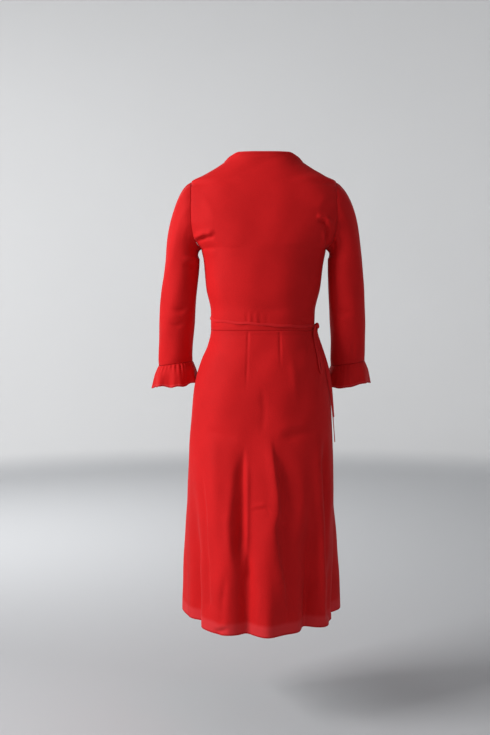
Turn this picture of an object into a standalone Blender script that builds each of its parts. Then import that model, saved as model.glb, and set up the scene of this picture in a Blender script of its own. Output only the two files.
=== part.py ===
"""A wrap dress in thin crepe, hollow, standing as it is worn.

The front of the dress faces -Y, its left side is at +X, and +Z is up. The origin is midway between
the two points where the shoulder seams meet the neck, where the shoulders hold the dress.
Every cut piece is a thin closed wall on one worn form, and pieces stop just short of each other at seams.
"""

import math

import bpy
from mathutils import Vector

# ---------------------------------------------------------------- driving sizes, in metres
CLOTH = 0.0012  # wall of a cut piece
SEAM_HALF = 0.00025  # what each of two pieces is held back at a shared seam
HEM_HEIGHT = -1.097
WAIST_HEIGHT = -0.397
NECK_POINT_REACH = 0.095
WRAP_CROSSING = 0.225  # how far below the neck points the two fronts cross
WRAP_EASE = 0.062  # the run, from the side seam, over which it rises to that
WRAP_LIFT = 0.0068  # how far the over front stands off the under front
LINING_DEPTH = 0.0044  # from the skirt's outer face in to the lining's
LINING_WALL = 0.001
LINING_SHORTER = 0.028  # how far the lining ends above the hem
ROUNDNESS = 2.3  # power of the rounded oval that every level follows
TIE_WIDTH = 0.0066
TIE_TUBE_RADIUS = 0.0024
BINDING_WIDTH = 0.0045
BINDING_CLOTH = 0.0008
FRONT_BINDING_OUT = BINDING_CLOTH + 0.0011  # from the panel's outer face to the binding's
BACK_BINDING_OUT = BINDING_CLOTH + 0.0014
CUFF_DEPTH = 0.054

# Levels of the worn form below the underarm: half widths to each side, reach to the back and front.
FORM_COLUMNS = ("height", "left", "right", "back", "front")
FORM_LEVELS = (
    (-1.097, 0.182, 0.176, 0.138, 0.140),
    (-0.957, 0.182, 0.176, 0.136, 0.136),
    (-0.800, 0.181, 0.172, 0.132, 0.128),
    (-0.682, 0.179, 0.168, 0.124, 0.121),
    (-0.605, 0.173, 0.164, 0.118, 0.115),
    (-0.547, 0.168, 0.161, 0.113, 0.111),
    (-0.508, 0.161, 0.155, 0.108, 0.107),
    (-0.469, 0.149, 0.146, 0.102, 0.101),
    (-0.431, 0.133, 0.132, 0.094, 0.095),
    (-0.397, 0.126, 0.122, 0.089, 0.092),
    (-0.354, 0.126, 0.123, 0.089, 0.097),
    (-0.297, 0.137, 0.135, 0.095, 0.109),
    (-0.240, 0.142, 0.142, 0.100, 0.118),
    (-0.205, 0.147, 0.149, 0.102, 0.119),
)

# Levels above the underarm: where the panel's edge lies at the armhole, the shoulder seam or the back neck.
# Columns: height, edge reach, edge depth to the back and to the front, middle depth to the back and front.
YOKE_LEVELS = (
    (-0.205, 0.1480, 0.0000, 0.0000, 0.102, 0.119),
    (-0.199, 0.1535, 0.0200, 0.0190, 0.102, 0.118),
    (-0.186, 0.1620, 0.0380, 0.0350, 0.101, 0.117),
    (-0.165, 0.1675, 0.0500, 0.0450, 0.099, 0.114),
    (-0.140, 0.1700, 0.0560, 0.0490, 0.096, 0.110),
    (-0.112, 0.1705, 0.0560, 0.0470, 0.091, 0.103),
    (-0.085, 0.1705, 0.0490, 0.0390, 0.085, 0.093),
    (-0.062, 0.1710, 0.0340, 0.0260, 0.079, 0.082),
    (-0.047, 0.1720, 0.0000, 0.0000, 0.074, 0.073),
    (-0.032, 0.1450, 0.0000, 0.0000, 0.070, 0.064),
    (-0.016, 0.1170, 0.0000, 0.0000, 0.065, 0.055),
    (-0.0015, 0.0950, 0.0000, 0.0000, 0.060, 0.046),
)
ARMHOLE_ROWS = 9  # the first rows of the yoke table, underarm to shoulder tip
BACK_NECK_LEVELS = (  # the back panel goes on above the neck points
    (0.0100, 0.0810, 0.0250, 0.0, 0.058, 0.046),
    (0.0180, 0.0620, 0.0415, 0.0, 0.056, 0.046),
)

# Hem folds round the skirt, by bearing: 0 is the left side, 90 the back. Each pushes out or in at the hem.
# Columns: bearing, push at the hem, spread in degrees, height where it starts.
SKIRT_FOLDS = (
    (-24.0, 0.032, 14.0, -0.560),
    (17.0, -0.034, 10.0, -0.640),
    (55.0, 0.020, 13.0, -0.640),
    (73.0, -0.012, 6.0, -0.660),
    (93.0, 0.027, 13.0, -0.610),
    (136.0, -0.040, 9.0, -0.700),
    (166.0, -0.012, 10.0, -0.700),
    (186.0, -0.022, 9.0, -0.600),
    (207.0, 0.044, 14.0, -0.540),
    (238.0, -0.014, 9.0, -0.700),
    (259.0, 0.016, 10.0, -0.640),
    (284.0, -0.014, 9.0, -0.700),
    (308.0, 0.012, 9.0, -0.660),
)
FOLD_STEP = 4.6  # columns of the skirt are no closer than this, in degrees
WIDEST_STEP = 12.0
SKIRT_HEIGHTS = (-1.097, -1.069, -0.980, -0.880, -0.780, -0.690, -0.605, -0.530, -0.469, -0.425, -0.397)
LINING_HEIGHTS = (-0.980, -0.880, -0.780, -0.690, -0.605, -0.505, -0.440)  # between its ends
LOWER_BODICE_HEIGHTS = (WAIST_HEIGHT, -0.354, -0.297, -0.240)

# Levels of a sleeve, underarm to cuff seam: the middle of each arm, half width and half depth.
SLEEVE_COLUMNS = ("height", "left", "right", "forward", "half_width", "half_depth")
SLEEVE_LEVELS = (
    (-0.228, 0.1945, 0.1945, 0.002, 0.0405, 0.0460),
    (-0.262, 0.1975, 0.1955, 0.004, 0.0420, 0.0450),
    (-0.310, 0.2025, 0.1985, 0.009, 0.0430, 0.0445),
    (-0.370, 0.2080, 0.2025, 0.019, 0.0430, 0.0435),
    (-0.435, 0.2125, 0.2060, 0.037, 0.0415, 0.0430),
    (-0.480, 0.2145, 0.2075, 0.052, 0.0415, 0.0425),
)
CAP_RINGS = 4  # rings between the armhole and the first level of the sleeve
CAP_LEAVES = (0.18, 0.0, -0.063)  # how the cap leaves the armhole, for each metre that it spans
CAP_NARROWS = 0.2  # how far the cap draws in towards the arm's middle above its first level
CUFF_TILT = {"left": -0.0060, "right": 0.0065}  # how much higher the outer side of the cuff seam lies
RUFFLE_WAVES = 7
RUFFLE_WAVE_HEIGHT = {"left": 0.0038, "right": 0.0024}
RUFFLE_COLUMNS = 34
RUFFLE_ROWS = ((0.0, 0.0), (0.45, 0.0095), (1.0, 0.0140))  # share of its depth, flare

# Hand-laid routes of the bow's free pieces, from the knot at the right side.
KNOT_PLACE = (-0.1271, 0.0241, -0.3866)
KNOT_SIZE = (0.0055, 0.0065, 0.0075)
TIE_ROUTES = {
    "bow_loop_back": (
        (-0.1234, 0.0322, -0.3850), (-0.1217, 0.0368, -0.3900), (-0.1191, 0.0411, -0.4050),
        (-0.1223, 0.0486, -0.4300), (-0.1282, 0.0574, -0.4600), (-0.1314, 0.0640, -0.4860),
        (-0.1351, 0.0630, -0.4945), (-0.1366, 0.0572, -0.4860), (-0.1332, 0.0503, -0.4600),
        (-0.1265, 0.0412, -0.4300), (-0.1225, 0.0337, -0.4060), (-0.1223, 0.0299, -0.3930),
    ),
    "bow_loop_front": (
        (-0.1278, 0.0166, -0.3862), (-0.1284, 0.0095, -0.3900), (-0.1284, 0.0000, -0.4050),
        (-0.1354, -0.0143, -0.4300), (-0.1426, -0.0294, -0.4560), (-0.1455, -0.0412, -0.4760),
        (-0.1419, -0.0487, -0.4740), (-0.1379, -0.0417, -0.4540), (-0.1336, -0.0250, -0.4280),
        (-0.1288, -0.0078, -0.4050), (-0.1266, 0.0066, -0.3930),
    ),
    "tie_end_back": (
        (-0.1232, 0.0235, -0.3962), (-0.1277, 0.0260, -0.4150), (-0.1364, 0.0308, -0.4450),
        (-0.1479, 0.0356, -0.4850), (-0.1571, 0.0355, -0.5300), (-0.1623, 0.0312, -0.5700),
        (-0.1666, 0.0247, -0.6140), (-0.1690, 0.0202, -0.6400), (-0.1712, 0.0174, -0.6650),
    ),
    "tie_end_front": (
        (-0.1246, 0.0162, -0.3945), (-0.1298, 0.0151, -0.4150), (-0.1401, 0.0143, -0.4450),
        (-0.1528, 0.0150, -0.4850), (-0.1618, 0.0136, -0.5300), (-0.1666, 0.0099, -0.5700),
        (-0.1696, 0.0071, -0.6060),
    ),
}
TIE_LEVELS = ((0.0, -0.3680), (36.0, -0.3760), (75.0, -0.3805), (110.0, -0.3845), (140.0, -0.3870), (226.0, -0.3860))
BACK_TIE_BEARINGS = (0.6, 168.2)  # from the left side seam round the back to under the knot
FRONT_TIE_BEARINGS = (170.4, 220.4)  # from under the knot onto the edge of the over front
OVER_EDGE_BEARING = 217.0
LABEL_HALF_WIDTH = 0.030
LABEL_LEVELS = (-0.0075, 0.0035)

CREPE = ("crepe", (0.60, 0.018, 0.025), 0.62)
LINING_CLOTH = ("lining_cloth", (0.42, 0.010, 0.016), 0.50)
TRIM = ("trim", (0.50, 0.012, 0.020), 0.58)


# ---------------------------------------------------------------- small helpers
def start_clean():
    """Remove every object that the file opens with."""
    for thing in list(bpy.data.objects):
        bpy.data.objects.remove(thing, do_unlink=True)


def cloth_material(name, colour, roughness):
    """A plain cloth material, made once for each piece."""
    material = bpy.data.materials.new(name)
    material.use_nodes = True
    shader = material.node_tree.nodes["Principled BSDF"]
    shader.inputs["Base Color"].default_value = (*colour, 1.0)
    shader.inputs["Roughness"].default_value = roughness
    shader.inputs["Metallic"].default_value = 0.0
    return material


def smooth(share):
    """Ease from 0 to 1 as share goes from 0 to 1."""
    share = min(max(share, 0.0), 1.0)
    return share * share * (3.0 - 2.0 * share)


def between(rows, value, column):
    """Read a column of a table, whose first column rises, at a value of that first column."""
    for low, high in zip(rows, rows[1:]):
        if value <= high[0]:
            share = (value - low[0]) / (high[0] - low[0])
            return low[column] + (high[column] - low[column]) * max(share, 0.0)
    return rows[-1][column]


def evenly(first, last, count):
    """Count numbers from first to last, both included."""
    return [first + (last - first) * index / (count - 1) for index in range(count)]


def flipped(point):
    """The same point on the other side of the body."""
    return Vector((-point.x, point.y, point.z))


# ---------------------------------------------------------------- the worn form
def oval_reach(reach, across, deep):
    """How far forward or back an oval lies at a reach from its middle."""
    return deep * max(1.0 - abs(reach / across) ** ROUNDNESS, 0.0) ** (1.0 / ROUNDNESS)


def fold_push(bearing, height):
    """How far the skirt's folds move its wall outwards at a bearing and height."""
    total = 0.0
    for middle, push, spread, starts in SKIRT_FOLDS:
        away = (bearing - middle + 180.0) % 360.0 - 180.0
        grown = smooth((starts - height) / (starts - HEM_HEIGHT))
        total += push * grown * math.exp(-((away / spread) ** 2))
    return total


def form_sizes(bearing, height):
    """The half width and the depth of the form in the quarter that a bearing looks to."""
    turn = math.radians(bearing)
    across = between(FORM_LEVELS, height, FORM_COLUMNS.index("left" if math.cos(turn) >= 0 else "right"))
    deep = between(FORM_LEVELS, height, FORM_COLUMNS.index("back" if math.sin(turn) >= 0 else "front"))
    return across, deep


def form_point(bearing, height, out=0.0):
    """A point of the form below the underarm, moved out level by a distance."""
    across, deep = form_sizes(bearing, height)
    turn = math.radians(bearing)
    share_x, share_y = abs(math.cos(turn)) / across, abs(math.sin(turn)) / deep
    far = (share_x**ROUNDNESS + share_y**ROUNDNESS) ** (-1.0 / ROUNDNESS)
    facing = Vector((
        math.copysign((far * share_x) ** (ROUNDNESS - 1.0) / across, math.cos(turn)),
        math.copysign((far * share_y) ** (ROUNDNESS - 1.0) / deep, math.sin(turn)),
        0.0,
    )).normalized()
    place = Vector((far * math.cos(turn), far * math.sin(turn), height))
    return place + facing * (out + fold_push(bearing, height))


def yoke_point(level, share, back):
    """A point of a level above the underarm: share 0 at the panel's edge, 1 at the middle of the body."""
    height, edge, edge_back, edge_front, deep_back, deep_front = level
    edge_y, deep = (edge_back, deep_back) if back else (edge_front, deep_front)
    full = edge / (1.0 - (edge_y / deep) ** ROUNDNESS) ** (1.0 / ROUNDNESS)
    first = math.acos((edge / full) ** (ROUNDNESS / 2.0))
    turn = first + (math.pi / 2 - first) * share
    x = full * math.cos(turn) ** (2.0 / ROUNDNESS) if share < 1.0 else 0.0
    y = deep * math.sin(turn) ** (2.0 / ROUNDNESS)
    return Vector((x, y if back else -y, height))


def yoke_share_at(level, reach):
    """The share along a front level, from its edge, at which the panel lies a given reach from the middle."""
    low, high = 0.0, 1.0
    for _ in range(30):
        middle = 0.5 * (low + high)
        if yoke_point(level, middle, False).x > reach:
            low = middle
        else:
            high = middle
    return low


def wrap_reach(height):
    """Where a front's wrap edge lies: positive on its own side of the middle, negative past it."""
    top = NECK_POINT_REACH - 0.004
    return max(top + height * top / WRAP_CROSSING, -0.088)


def wrap_bearing(height, side):
    """How many degrees a front runs from its side seam, round the front, to its wrap edge."""
    reach = wrap_reach(height) if height > WAIST_HEIGHT else -0.088 - 0.03 * (WAIST_HEIGHT - height)
    quarter = 0.0 if reach * side > 0 else 180.0
    across, deep = form_sizes(quarter - 0.01 if quarter == 0.0 else 180.01, height)
    return math.degrees(math.atan2(oval_reach(reach, across, deep), reach))


# ---------------------------------------------------------------- walls from grids of points
def grid_normals(grid, wrapped=False):
    """The outward direction at each point of a grid of rows, by its neighbours."""
    rows, columns = len(grid), len(grid[0])
    normals = []
    for row in range(rows):
        line = []
        for column in range(columns):
            up = grid[min(row + 1, rows - 1)][column] - grid[max(row - 1, 0)][column]
            if wrapped:
                along = grid[row][(column + 1) % columns] - grid[row][column - 1]
            else:
                along = grid[row][min(column + 1, columns - 1)] - grid[row][max(column - 1, 0)]
            line.append(along.cross(up).normalized())
        normals.append(line)
    return normals


def moved(grid, distance, wrapped=False):
    """The same grid, moved along its own outward directions."""
    normals = grid_normals(grid, wrapped)
    return [[p + n * distance for p, n in zip(row, facing)] for row, facing in zip(grid, normals)]


def wall(name, outer, finish, thickness=CLOTH, wrapped=False):
    """A closed thin wall: outer is a grid whose rows go up, each running anticlockwise seen from above."""
    inner = moved(outer, -thickness, wrapped)
    rows, columns = len(outer), len(outer[0])
    points = [p for row in outer for p in row] + [p for row in inner for p in row]
    half = rows * columns
    faces = []
    spans = columns if wrapped else columns - 1
    for row in range(rows - 1):
        for column in range(spans):
            a = row * columns + column
            b = row * columns + (column + 1) % columns
            faces.append((a, b, b + columns, a + columns))
            faces.append((half + a, half + a + columns, half + b + columns, half + b))
    top = (rows - 1) * columns
    for column in range(spans):
        a, b = column, (column + 1) % columns
        faces.append((a, half + a, half + b, b))
        faces.append((top + a, top + b, half + top + b, half + top + a))
    if not wrapped:
        for row in range(rows - 1):
            a, b = row * columns, (row + 1) * columns
            faces.append((a, b, half + b, half + a))
            c, d = a + columns - 1, b + columns - 1
            faces.append((c, half + c, half + d, d))
    mesh = bpy.data.meshes.new(name)
    mesh.from_pydata([tuple(p) for p in points], [], faces)
    mesh.shade_smooth()
    mesh.set_sharp_from_angle(angle=math.radians(40))
    mesh.materials.append(cloth_material(f"{name}_{finish[0]}", finish[1], finish[2]))
    piece = bpy.data.objects.new(name, mesh)
    bpy.context.collection.objects.link(piece)
    return piece


def held_back(grid, edges="left right bottom top"):
    """The grid with chosen edges pulled in by half a seam's gap, so that neighbours stop just short."""
    rows = [list(row) for row in grid]

    def pull(point, towards):
        return point + (towards - point).normalized() * SEAM_HALF

    for row in rows:
        if "left" in edges:
            row[0] = pull(row[0], row[1])
        if "right" in edges:
            row[-1] = pull(row[-1], row[-2])
    if "bottom" in edges:
        rows[0] = [pull(a, b) for a, b in zip(rows[0], rows[1])]
    if "top" in edges:
        rows[-1] = [pull(a, b) for a, b in zip(rows[-1], rows[-2])]
    return rows


# ---------------------------------------------------------------- the bodice
BACK_COLUMNS = 15
FRONT_COLUMNS = 10


def back_bodice_grid():
    """Rows of the back bodice, waist to back neck, each from the left side to the right."""
    rows = []
    for height in LOWER_BODICE_HEIGHTS:
        rows.append([form_point(bearing, height) for bearing in evenly(0.0, 180.0, BACK_COLUMNS)])
    for level in YOKE_LEVELS + BACK_NECK_LEVELS:
        left = [yoke_point(level, share, True) for share in evenly(0.0, 1.0, (BACK_COLUMNS + 1) // 2)]
        rows.append(left + [flipped(p) for p in left[-2::-1]])
    return rows


def lifted(row, amount):
    """A front row stood off level, nothing at its first point and all of it past the ease."""
    out = [row[0].copy()]
    walked = 0.0
    for previous, point in zip(row, row[1:]):
        walked += (point - previous).length
        facing = Vector((point.x * 0.45, point.y, 0.0)).normalized()
        out.append(point + facing * amount * smooth(walked / WRAP_EASE))
    return out


def lower_front_row(height, side, columns, out=0.0):
    """A front row below the underarm, from its own side seam to its wrap edge; side is 1 for left."""
    span = wrap_bearing(height, side)
    bearings = [-step if side > 0 else 180.0 + step for step in evenly(0.0, span, columns)]
    return [form_point(bearing, height, out) for bearing in bearings]


def upper_front_row(level, side, columns):
    """A front row above the underarm, from the armhole or shoulder seam to its wrap edge."""
    reach = wrap_reach(level[0])
    last = yoke_share_at(level, reach) if reach >= 0.0 else 2.0 - yoke_share_at(level, -reach)
    row = []
    for share in evenly(0.0, last, columns):
        point = yoke_point(level, min(share, 2.0 - share), False)
        row.append(point if share <= 1.0 else flipped(point))
    return row if side > 0 else [flipped(point) for point in row]


def front_bodice_grid(side, lift):
    """Rows of one front, waist to shoulder seam, each running anticlockwise seen from above."""
    rows = [lifted(lower_front_row(height, side, FRONT_COLUMNS), lift) for height in LOWER_BODICE_HEIGHTS]
    for level in YOKE_LEVELS:
        shown = lift * smooth((-0.05 - level[0]) / 0.12)
        rows.append(lifted(upper_front_row(level, side, FRONT_COLUMNS), shown))
    return [row[::-1] for row in rows] if side > 0 else rows


def strip_start(edge, inside):
    """Where a strip of binding starts on the panel, its own width in from the edge."""
    return edge + (inside - edge).normalized() * BINDING_WIDTH


def back_binding_rows(laid):
    """The lower and upper line of the back neck's binding, from neck point to neck point."""
    upper = [laid[-3][0], laid[-2][0]] + laid[-1] + [laid[-2][-1], laid[-3][-1]]
    beside = [laid[-3][1], laid[-2][1], laid[-2][1]] + laid[-2][1:-1] + [laid[-2][-2], laid[-2][-2], laid[-3][-2]]
    return [[strip_start(edge, inside) for edge, inside in zip(upper, beside)], upper]


def front_binding_rows(laid, side):
    """The rows of a front's binding up its wrap edge."""
    edge, inner = (0, 1) if side > 0 else (-1, -2)
    rows = []
    for row in laid[:-1]:
        pair = [row[edge], strip_start(row[edge], row[inner])]
        rows.append(pair if side > 0 else pair[::-1])
    return rows


def build_bodice():
    """The back, the two crossed fronts, their edge binding and the label."""
    back = back_bodice_grid()
    wall("back_bodice", held_back(back), CREPE)
    wall("neck_binding_back", back_binding_rows(moved(back, BACK_BINDING_OUT)), TRIM, BINDING_CLOTH)
    for name, side, lift in (("left", 1, WRAP_LIFT), ("right", -1, 0.0)):
        grid = front_bodice_grid(side, lift)
        wall(f"front_bodice_{name}", held_back(grid), CREPE)
        rows = front_binding_rows(moved(grid, FRONT_BINDING_OUT), side)
        wall(f"neck_binding_{name}", rows, TRIM, BINDING_CLOTH)
    rows = []
    for height in LABEL_LEVELS:
        low, high = YOKE_LEVELS[-1], BACK_NECK_LEVELS[0]
        share = (height - low[0]) / (high[0] - low[0])
        deep = low[4] + (high[4] - low[4]) * share
        row = []
        for x in evenly(LABEL_HALF_WIDTH, -LABEL_HALF_WIDTH, 7):
            row.append(Vector((x + 0.004, oval_reach(x + 0.004, 0.11, deep) - CLOTH - 0.0018, height)))
        rows.append(row)
    wall("neck_label", rows, TRIM, 0.0006)


# ---------------------------------------------------------------- sleeves and ruffles
def armhole_ring():
    """The left armhole from the shoulder tip down the back, under the arm and up the front."""
    rows = YOKE_LEVELS[:ARMHOLE_ROWS]
    back = [yoke_point(level, 0.0, True) for level in rows]
    front = [yoke_point(level, 0.0, False) for level in rows[1:-1]]
    return back[::-1] + front


def sleeve_section(level, side_name, turn):
    """A point of a sleeve level as if on the left: turn 0 is the outer side, 90 the back."""
    middle = level[SLEEVE_COLUMNS.index(side_name)]
    forward, half_width, half_depth = level[3:6]
    angle = math.radians(turn)
    return Vector((
        middle + half_width * math.cos(angle),
        -forward + half_depth * math.sin(angle),
        level[0],
    ))


def cap_line(start, end, middle):
    """Points between the armhole and the first sleeve level, leaving level and arriving downwards."""
    reach = (end - start).length
    leave = start + Vector(CAP_LEAVES) * reach
    arrive = end + Vector((0.0, 0.0, 0.50)) * reach
    arrive.x += CAP_NARROWS * (middle - end.x)
    line = []
    for step in range(1, CAP_RINGS + 1):
        t = step / (CAP_RINGS + 1)
        line.append(
            start * (1 - t) ** 3 + leave * 3 * t * (1 - t) ** 2 + arrive * 3 * t * t * (1 - t) + end * t**3
        )
    return line


def cuff_level(side_name, turn):
    """A point of the cuff seam, tilted from the outer to the inner side."""
    point = sleeve_section(SLEEVE_LEVELS[-1], side_name, turn)
    point.z += CUFF_TILT[side_name] * math.cos(math.radians(turn))
    return point


def sleeve_grid(side_name):
    """Rows of a left-hand sleeve from the cuff seam up to the armhole."""
    ring = armhole_ring()
    turns = [360.0 * index / len(ring) for index in range(len(ring))]
    rows = [[cuff_level(side_name, turn) for turn in turns]]
    for level in SLEEVE_LEVELS[-2::-1]:
        rows.append([sleeve_section(level, side_name, turn) for turn in turns])
    middle = SLEEVE_LEVELS[0][SLEEVE_COLUMNS.index(side_name)]
    lines = [cap_line(start, end, middle) for start, end in zip(ring, rows[-1])]
    for step in range(CAP_RINGS - 1, -1, -1):
        rows.append([line[step] for line in lines])
    rows.append(ring)
    return rows


def ruffle_grid(side_name):
    """Rows of a left-hand ruffle from its waving lower edge up to the cuff seam."""
    rows = []
    middle = SLEEVE_LEVELS[-1][SLEEVE_COLUMNS.index(side_name)]
    for share, flare in RUFFLE_ROWS[::-1]:
        row = []
        for index in range(RUFFLE_COLUMNS):
            turn = 360.0 * index / RUFFLE_COLUMNS
            angle = math.radians(turn)
            top = cuff_level(side_name, turn)
            wave = math.cos(RUFFLE_WAVES * angle + 0.6) + 0.45 * math.cos(5 * angle + 2.0)
            out = flare + wave * share * RUFFLE_WAVE_HEIGHT[side_name]
            away = Vector((top.x - middle, top.y + SLEEVE_LEVELS[-1][3], 0.0)).normalized()
            drop = share * (CUFF_DEPTH + 0.0025 * math.cos(3 * angle + 1.0))
            row.append(top + away * out + Vector((0.0, -0.006 * share, -drop)))
        rows.append(row)
    return rows


def build_sleeves():
    """Both sleeves and their ruffles."""
    for side_name in ("left", "right"):
        for name, grid, edges in (
            (f"sleeve_{side_name}", sleeve_grid(side_name), "bottom top"),
            (f"cuff_ruffle_{side_name}", ruffle_grid(side_name), "top"),
        ):
            if side_name == "right":
                grid = [[flipped(p) for p in row][::-1] for row in grid]
            wall(name, held_back(grid, edges), CREPE, wrapped=True)


# ---------------------------------------------------------------- the skirt and its lining
def fold_bearings(first, last):
    """Bearings of a panel's columns: on each fold and its flanks, and never far apart."""
    marks = {first, last}
    for middle, _, spread, _ in SKIRT_FOLDS:
        for place in (middle - 0.8 * spread, middle, middle + 0.8 * spread):
            for turned in (place, place + 360.0):
                if first + 3.0 < turned < last - 3.0:
                    marks.add(turned)
    marks = sorted(marks)
    kept = [marks[0]]
    for mark in marks[1:-1]:
        if mark - kept[-1] > FOLD_STEP:
            kept.append(mark)
    kept.append(marks[-1])
    filled = [kept[0]]
    for low, high in zip(kept, kept[1:]):
        pieces = max(1, math.ceil((high - low) / WIDEST_STEP))
        filled += [low + (high - low) * step / pieces for step in range(1, pieces + 1)]
    return filled


def skirt_back_grid(out, heights):
    """Rows of the back skirt or its lining, bottom to waist."""
    bearings = fold_bearings(0.0, 180.0)
    return [[form_point(bearing, height, out) for bearing in bearings] for height in heights]


def skirt_front_grid(side, lift, out, heights):
    """Rows of a front skirt or its lining, each running anticlockwise seen from above."""
    rows = []
    hem_span = wrap_bearing(HEM_HEIGHT, side)
    if side > 0:
        marks = [360.0 - b for b in fold_bearings(360.0 - hem_span, 360.0)][::-1]
    else:
        marks = [b - 180.0 for b in fold_bearings(180.0, 180.0 + hem_span)]
    for height in heights:
        span = wrap_bearing(height, side)
        steps = [mark * span / hem_span for mark in marks]
        row = [form_point(-step if side > 0 else 180.0 + step, height, out) for step in steps]
        rows.append(lifted(row, lift))
    return [row[::-1] for row in rows] if side > 0 else rows


def build_skirt():
    """The back, the over front on the left, the under front on the right, and the lining behind each."""
    lining_heights = (HEM_HEIGHT + LINING_SHORTER, *LINING_HEIGHTS, WAIST_HEIGHT - 0.0025)
    for prefix, out, heights, finish, thickness in (
        ("skirt", 0.0, SKIRT_HEIGHTS, CREPE, CLOTH),
        ("lining", -LINING_DEPTH, lining_heights, LINING_CLOTH, LINING_WALL),
    ):
        edges = "left right top"
        wall(f"{prefix}_back", held_back(skirt_back_grid(out, heights), edges), finish, thickness)
        for name, side, lift in (("left", 1, WRAP_LIFT), ("right", -1, 0.0)):
            grid = skirt_front_grid(side, lift, out, heights)
            wall(f"{prefix}_front_{name}", held_back(grid, edges), finish, thickness)


# ---------------------------------------------------------------- the tie and its bow
def band(name, bearings, out_at):
    """A flat band round the waist at given bearings, its outer face out_at(bearing) off the form."""
    rows = []
    for half in (-0.5, 0.5):
        row = []
        for bearing in bearings:
            middle = between(TIE_LEVELS, bearing, 1)
            row.append(form_point(bearing, middle + half * TIE_WIDTH, out_at(bearing)))
        rows.append(row)
    wall(name, rows, TRIM, 0.0010)


def curve_through(points, spacing):
    """A smooth run of points through hand-laid ones, about evenly spaced."""
    run = []
    ends = [points[0] * 2 - points[1]] + points + [points[-1] * 2 - points[-2]]
    for before, start, end, after in zip(ends, ends[1:], ends[2:], ends[3:]):
        steps = max(1, round((end - start).length / spacing))
        for step in range(steps):
            t = step / steps
            run.append(0.5 * (
                start * 2 + (end - before) * t
                + (before * 2 - start * 5 + end * 4 - after) * t * t
                + (start * 3 - before - end * 3 + after) * t**3
            ))
    return run + [points[-1]]


def tie_tube(name, route):
    """A free piece of the tie as a plain tube along its route."""
    curve = bpy.data.curves.new(name, "CURVE")
    curve.dimensions = "3D"
    curve.bevel_depth = TIE_TUBE_RADIUS
    curve.bevel_resolution = 2
    curve.use_fill_caps = True
    places = curve_through([Vector(place) for place in route], 0.0135)
    spline = curve.splines.new("POLY")
    spline.points.add(len(places) - 1)
    for point, place in zip(spline.points, places):
        point.co = (*place, 1.0)
    curve.materials.append(cloth_material(f"{name}_{TRIM[0]}", TRIM[1], TRIM[2]))
    bpy.context.collection.objects.link(bpy.data.objects.new(name, curve))


def build_tie():
    """The band round the waist, the knot, its two loops and its two free ends."""
    on_cloth = 0.0004 + 0.0010
    grid = [bearing for bearing in evenly(0.0, 180.0, BACK_COLUMNS)]
    inside = [b for b in grid if BACK_TIE_BEARINGS[0] < b < BACK_TIE_BEARINGS[1]]
    band("waist_tie_back", [BACK_TIE_BEARINGS[0]] + inside + [BACK_TIE_BEARINGS[1]], lambda _: on_cloth)
    band(
        "waist_tie_front",
        evenly(*FRONT_TIE_BEARINGS, 11),
        lambda bearing: on_cloth + 0.0006
        + WRAP_LIFT * smooth((bearing - OVER_EDGE_BEARING + 20.0) / 18.0),
    )
    bpy.ops.mesh.primitive_uv_sphere_add(segments=14, ring_count=8, radius=1.0, location=KNOT_PLACE)
    knot = bpy.context.object
    knot.name = "bow_knot"
    knot.scale = KNOT_SIZE
    knot.data.shade_smooth()
    knot.data.materials.append(cloth_material("bow_knot_trim", TRIM[1], TRIM[2]))
    for name, route in TIE_ROUTES.items():
        tie_tube(name, route)


def main():
    """Build the dress."""
    start_clean()
    build_bodice()
    build_sleeves()
    build_skirt()
    build_tie()


if __name__ == "__main__":
    main()
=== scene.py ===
"""A wrap dress in thin red crepe, made up as finished cloth over its frame of plain panels.

The front faces -Y, the dress's own left is at +X and +Z is up. The origin is midway between the neck points.
"""

import logging
import math
from dataclasses import dataclass, field
from enum import Enum

import bpy
import numpy as np
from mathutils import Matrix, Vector


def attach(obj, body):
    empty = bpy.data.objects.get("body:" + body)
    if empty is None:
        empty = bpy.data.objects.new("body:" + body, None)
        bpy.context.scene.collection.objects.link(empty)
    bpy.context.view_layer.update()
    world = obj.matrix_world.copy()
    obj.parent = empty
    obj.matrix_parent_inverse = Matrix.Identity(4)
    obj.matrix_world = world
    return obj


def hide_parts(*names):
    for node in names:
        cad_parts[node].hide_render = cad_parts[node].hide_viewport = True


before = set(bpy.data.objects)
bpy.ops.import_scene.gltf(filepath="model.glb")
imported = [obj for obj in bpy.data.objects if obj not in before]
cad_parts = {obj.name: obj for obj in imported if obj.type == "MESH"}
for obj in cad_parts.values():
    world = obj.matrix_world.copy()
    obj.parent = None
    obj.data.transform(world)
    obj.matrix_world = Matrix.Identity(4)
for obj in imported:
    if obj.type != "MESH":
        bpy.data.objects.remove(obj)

LOG = logging.getLogger("wrap_dress")
Array = np.ndarray
Point = tuple[float, float, float]

ROUNDNESS = 2.3
HEM_HEIGHT = -1.097
WAIST_HEIGHT = -0.397
UNDERARM_HEIGHT = -0.205
NECK_POINT_HEIGHT = -0.0015
BACK_NECK_HEIGHT = 0.0180


class Side(Enum):
    """One side of the dress, as its wearer has it."""

    LEFT = 1
    RIGHT = -1

    @property
    def word(self) -> str:
        """The side's name in lower case."""
        return self.name.lower()


class Held(Enum):
    """How a cut piece of cloth is carried."""

    HUNG = "hung"
    GATHERED = "gathered"


# ---------------------------------------------------------------- reading tables and laying points
def eased(share: Array | float) -> Array:
    """Ease from 0 to 1 as a share goes from 0 to 1."""
    share = np.clip(share, 0.0, 1.0)
    return share * share * (3.0 - 2.0 * share)


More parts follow.
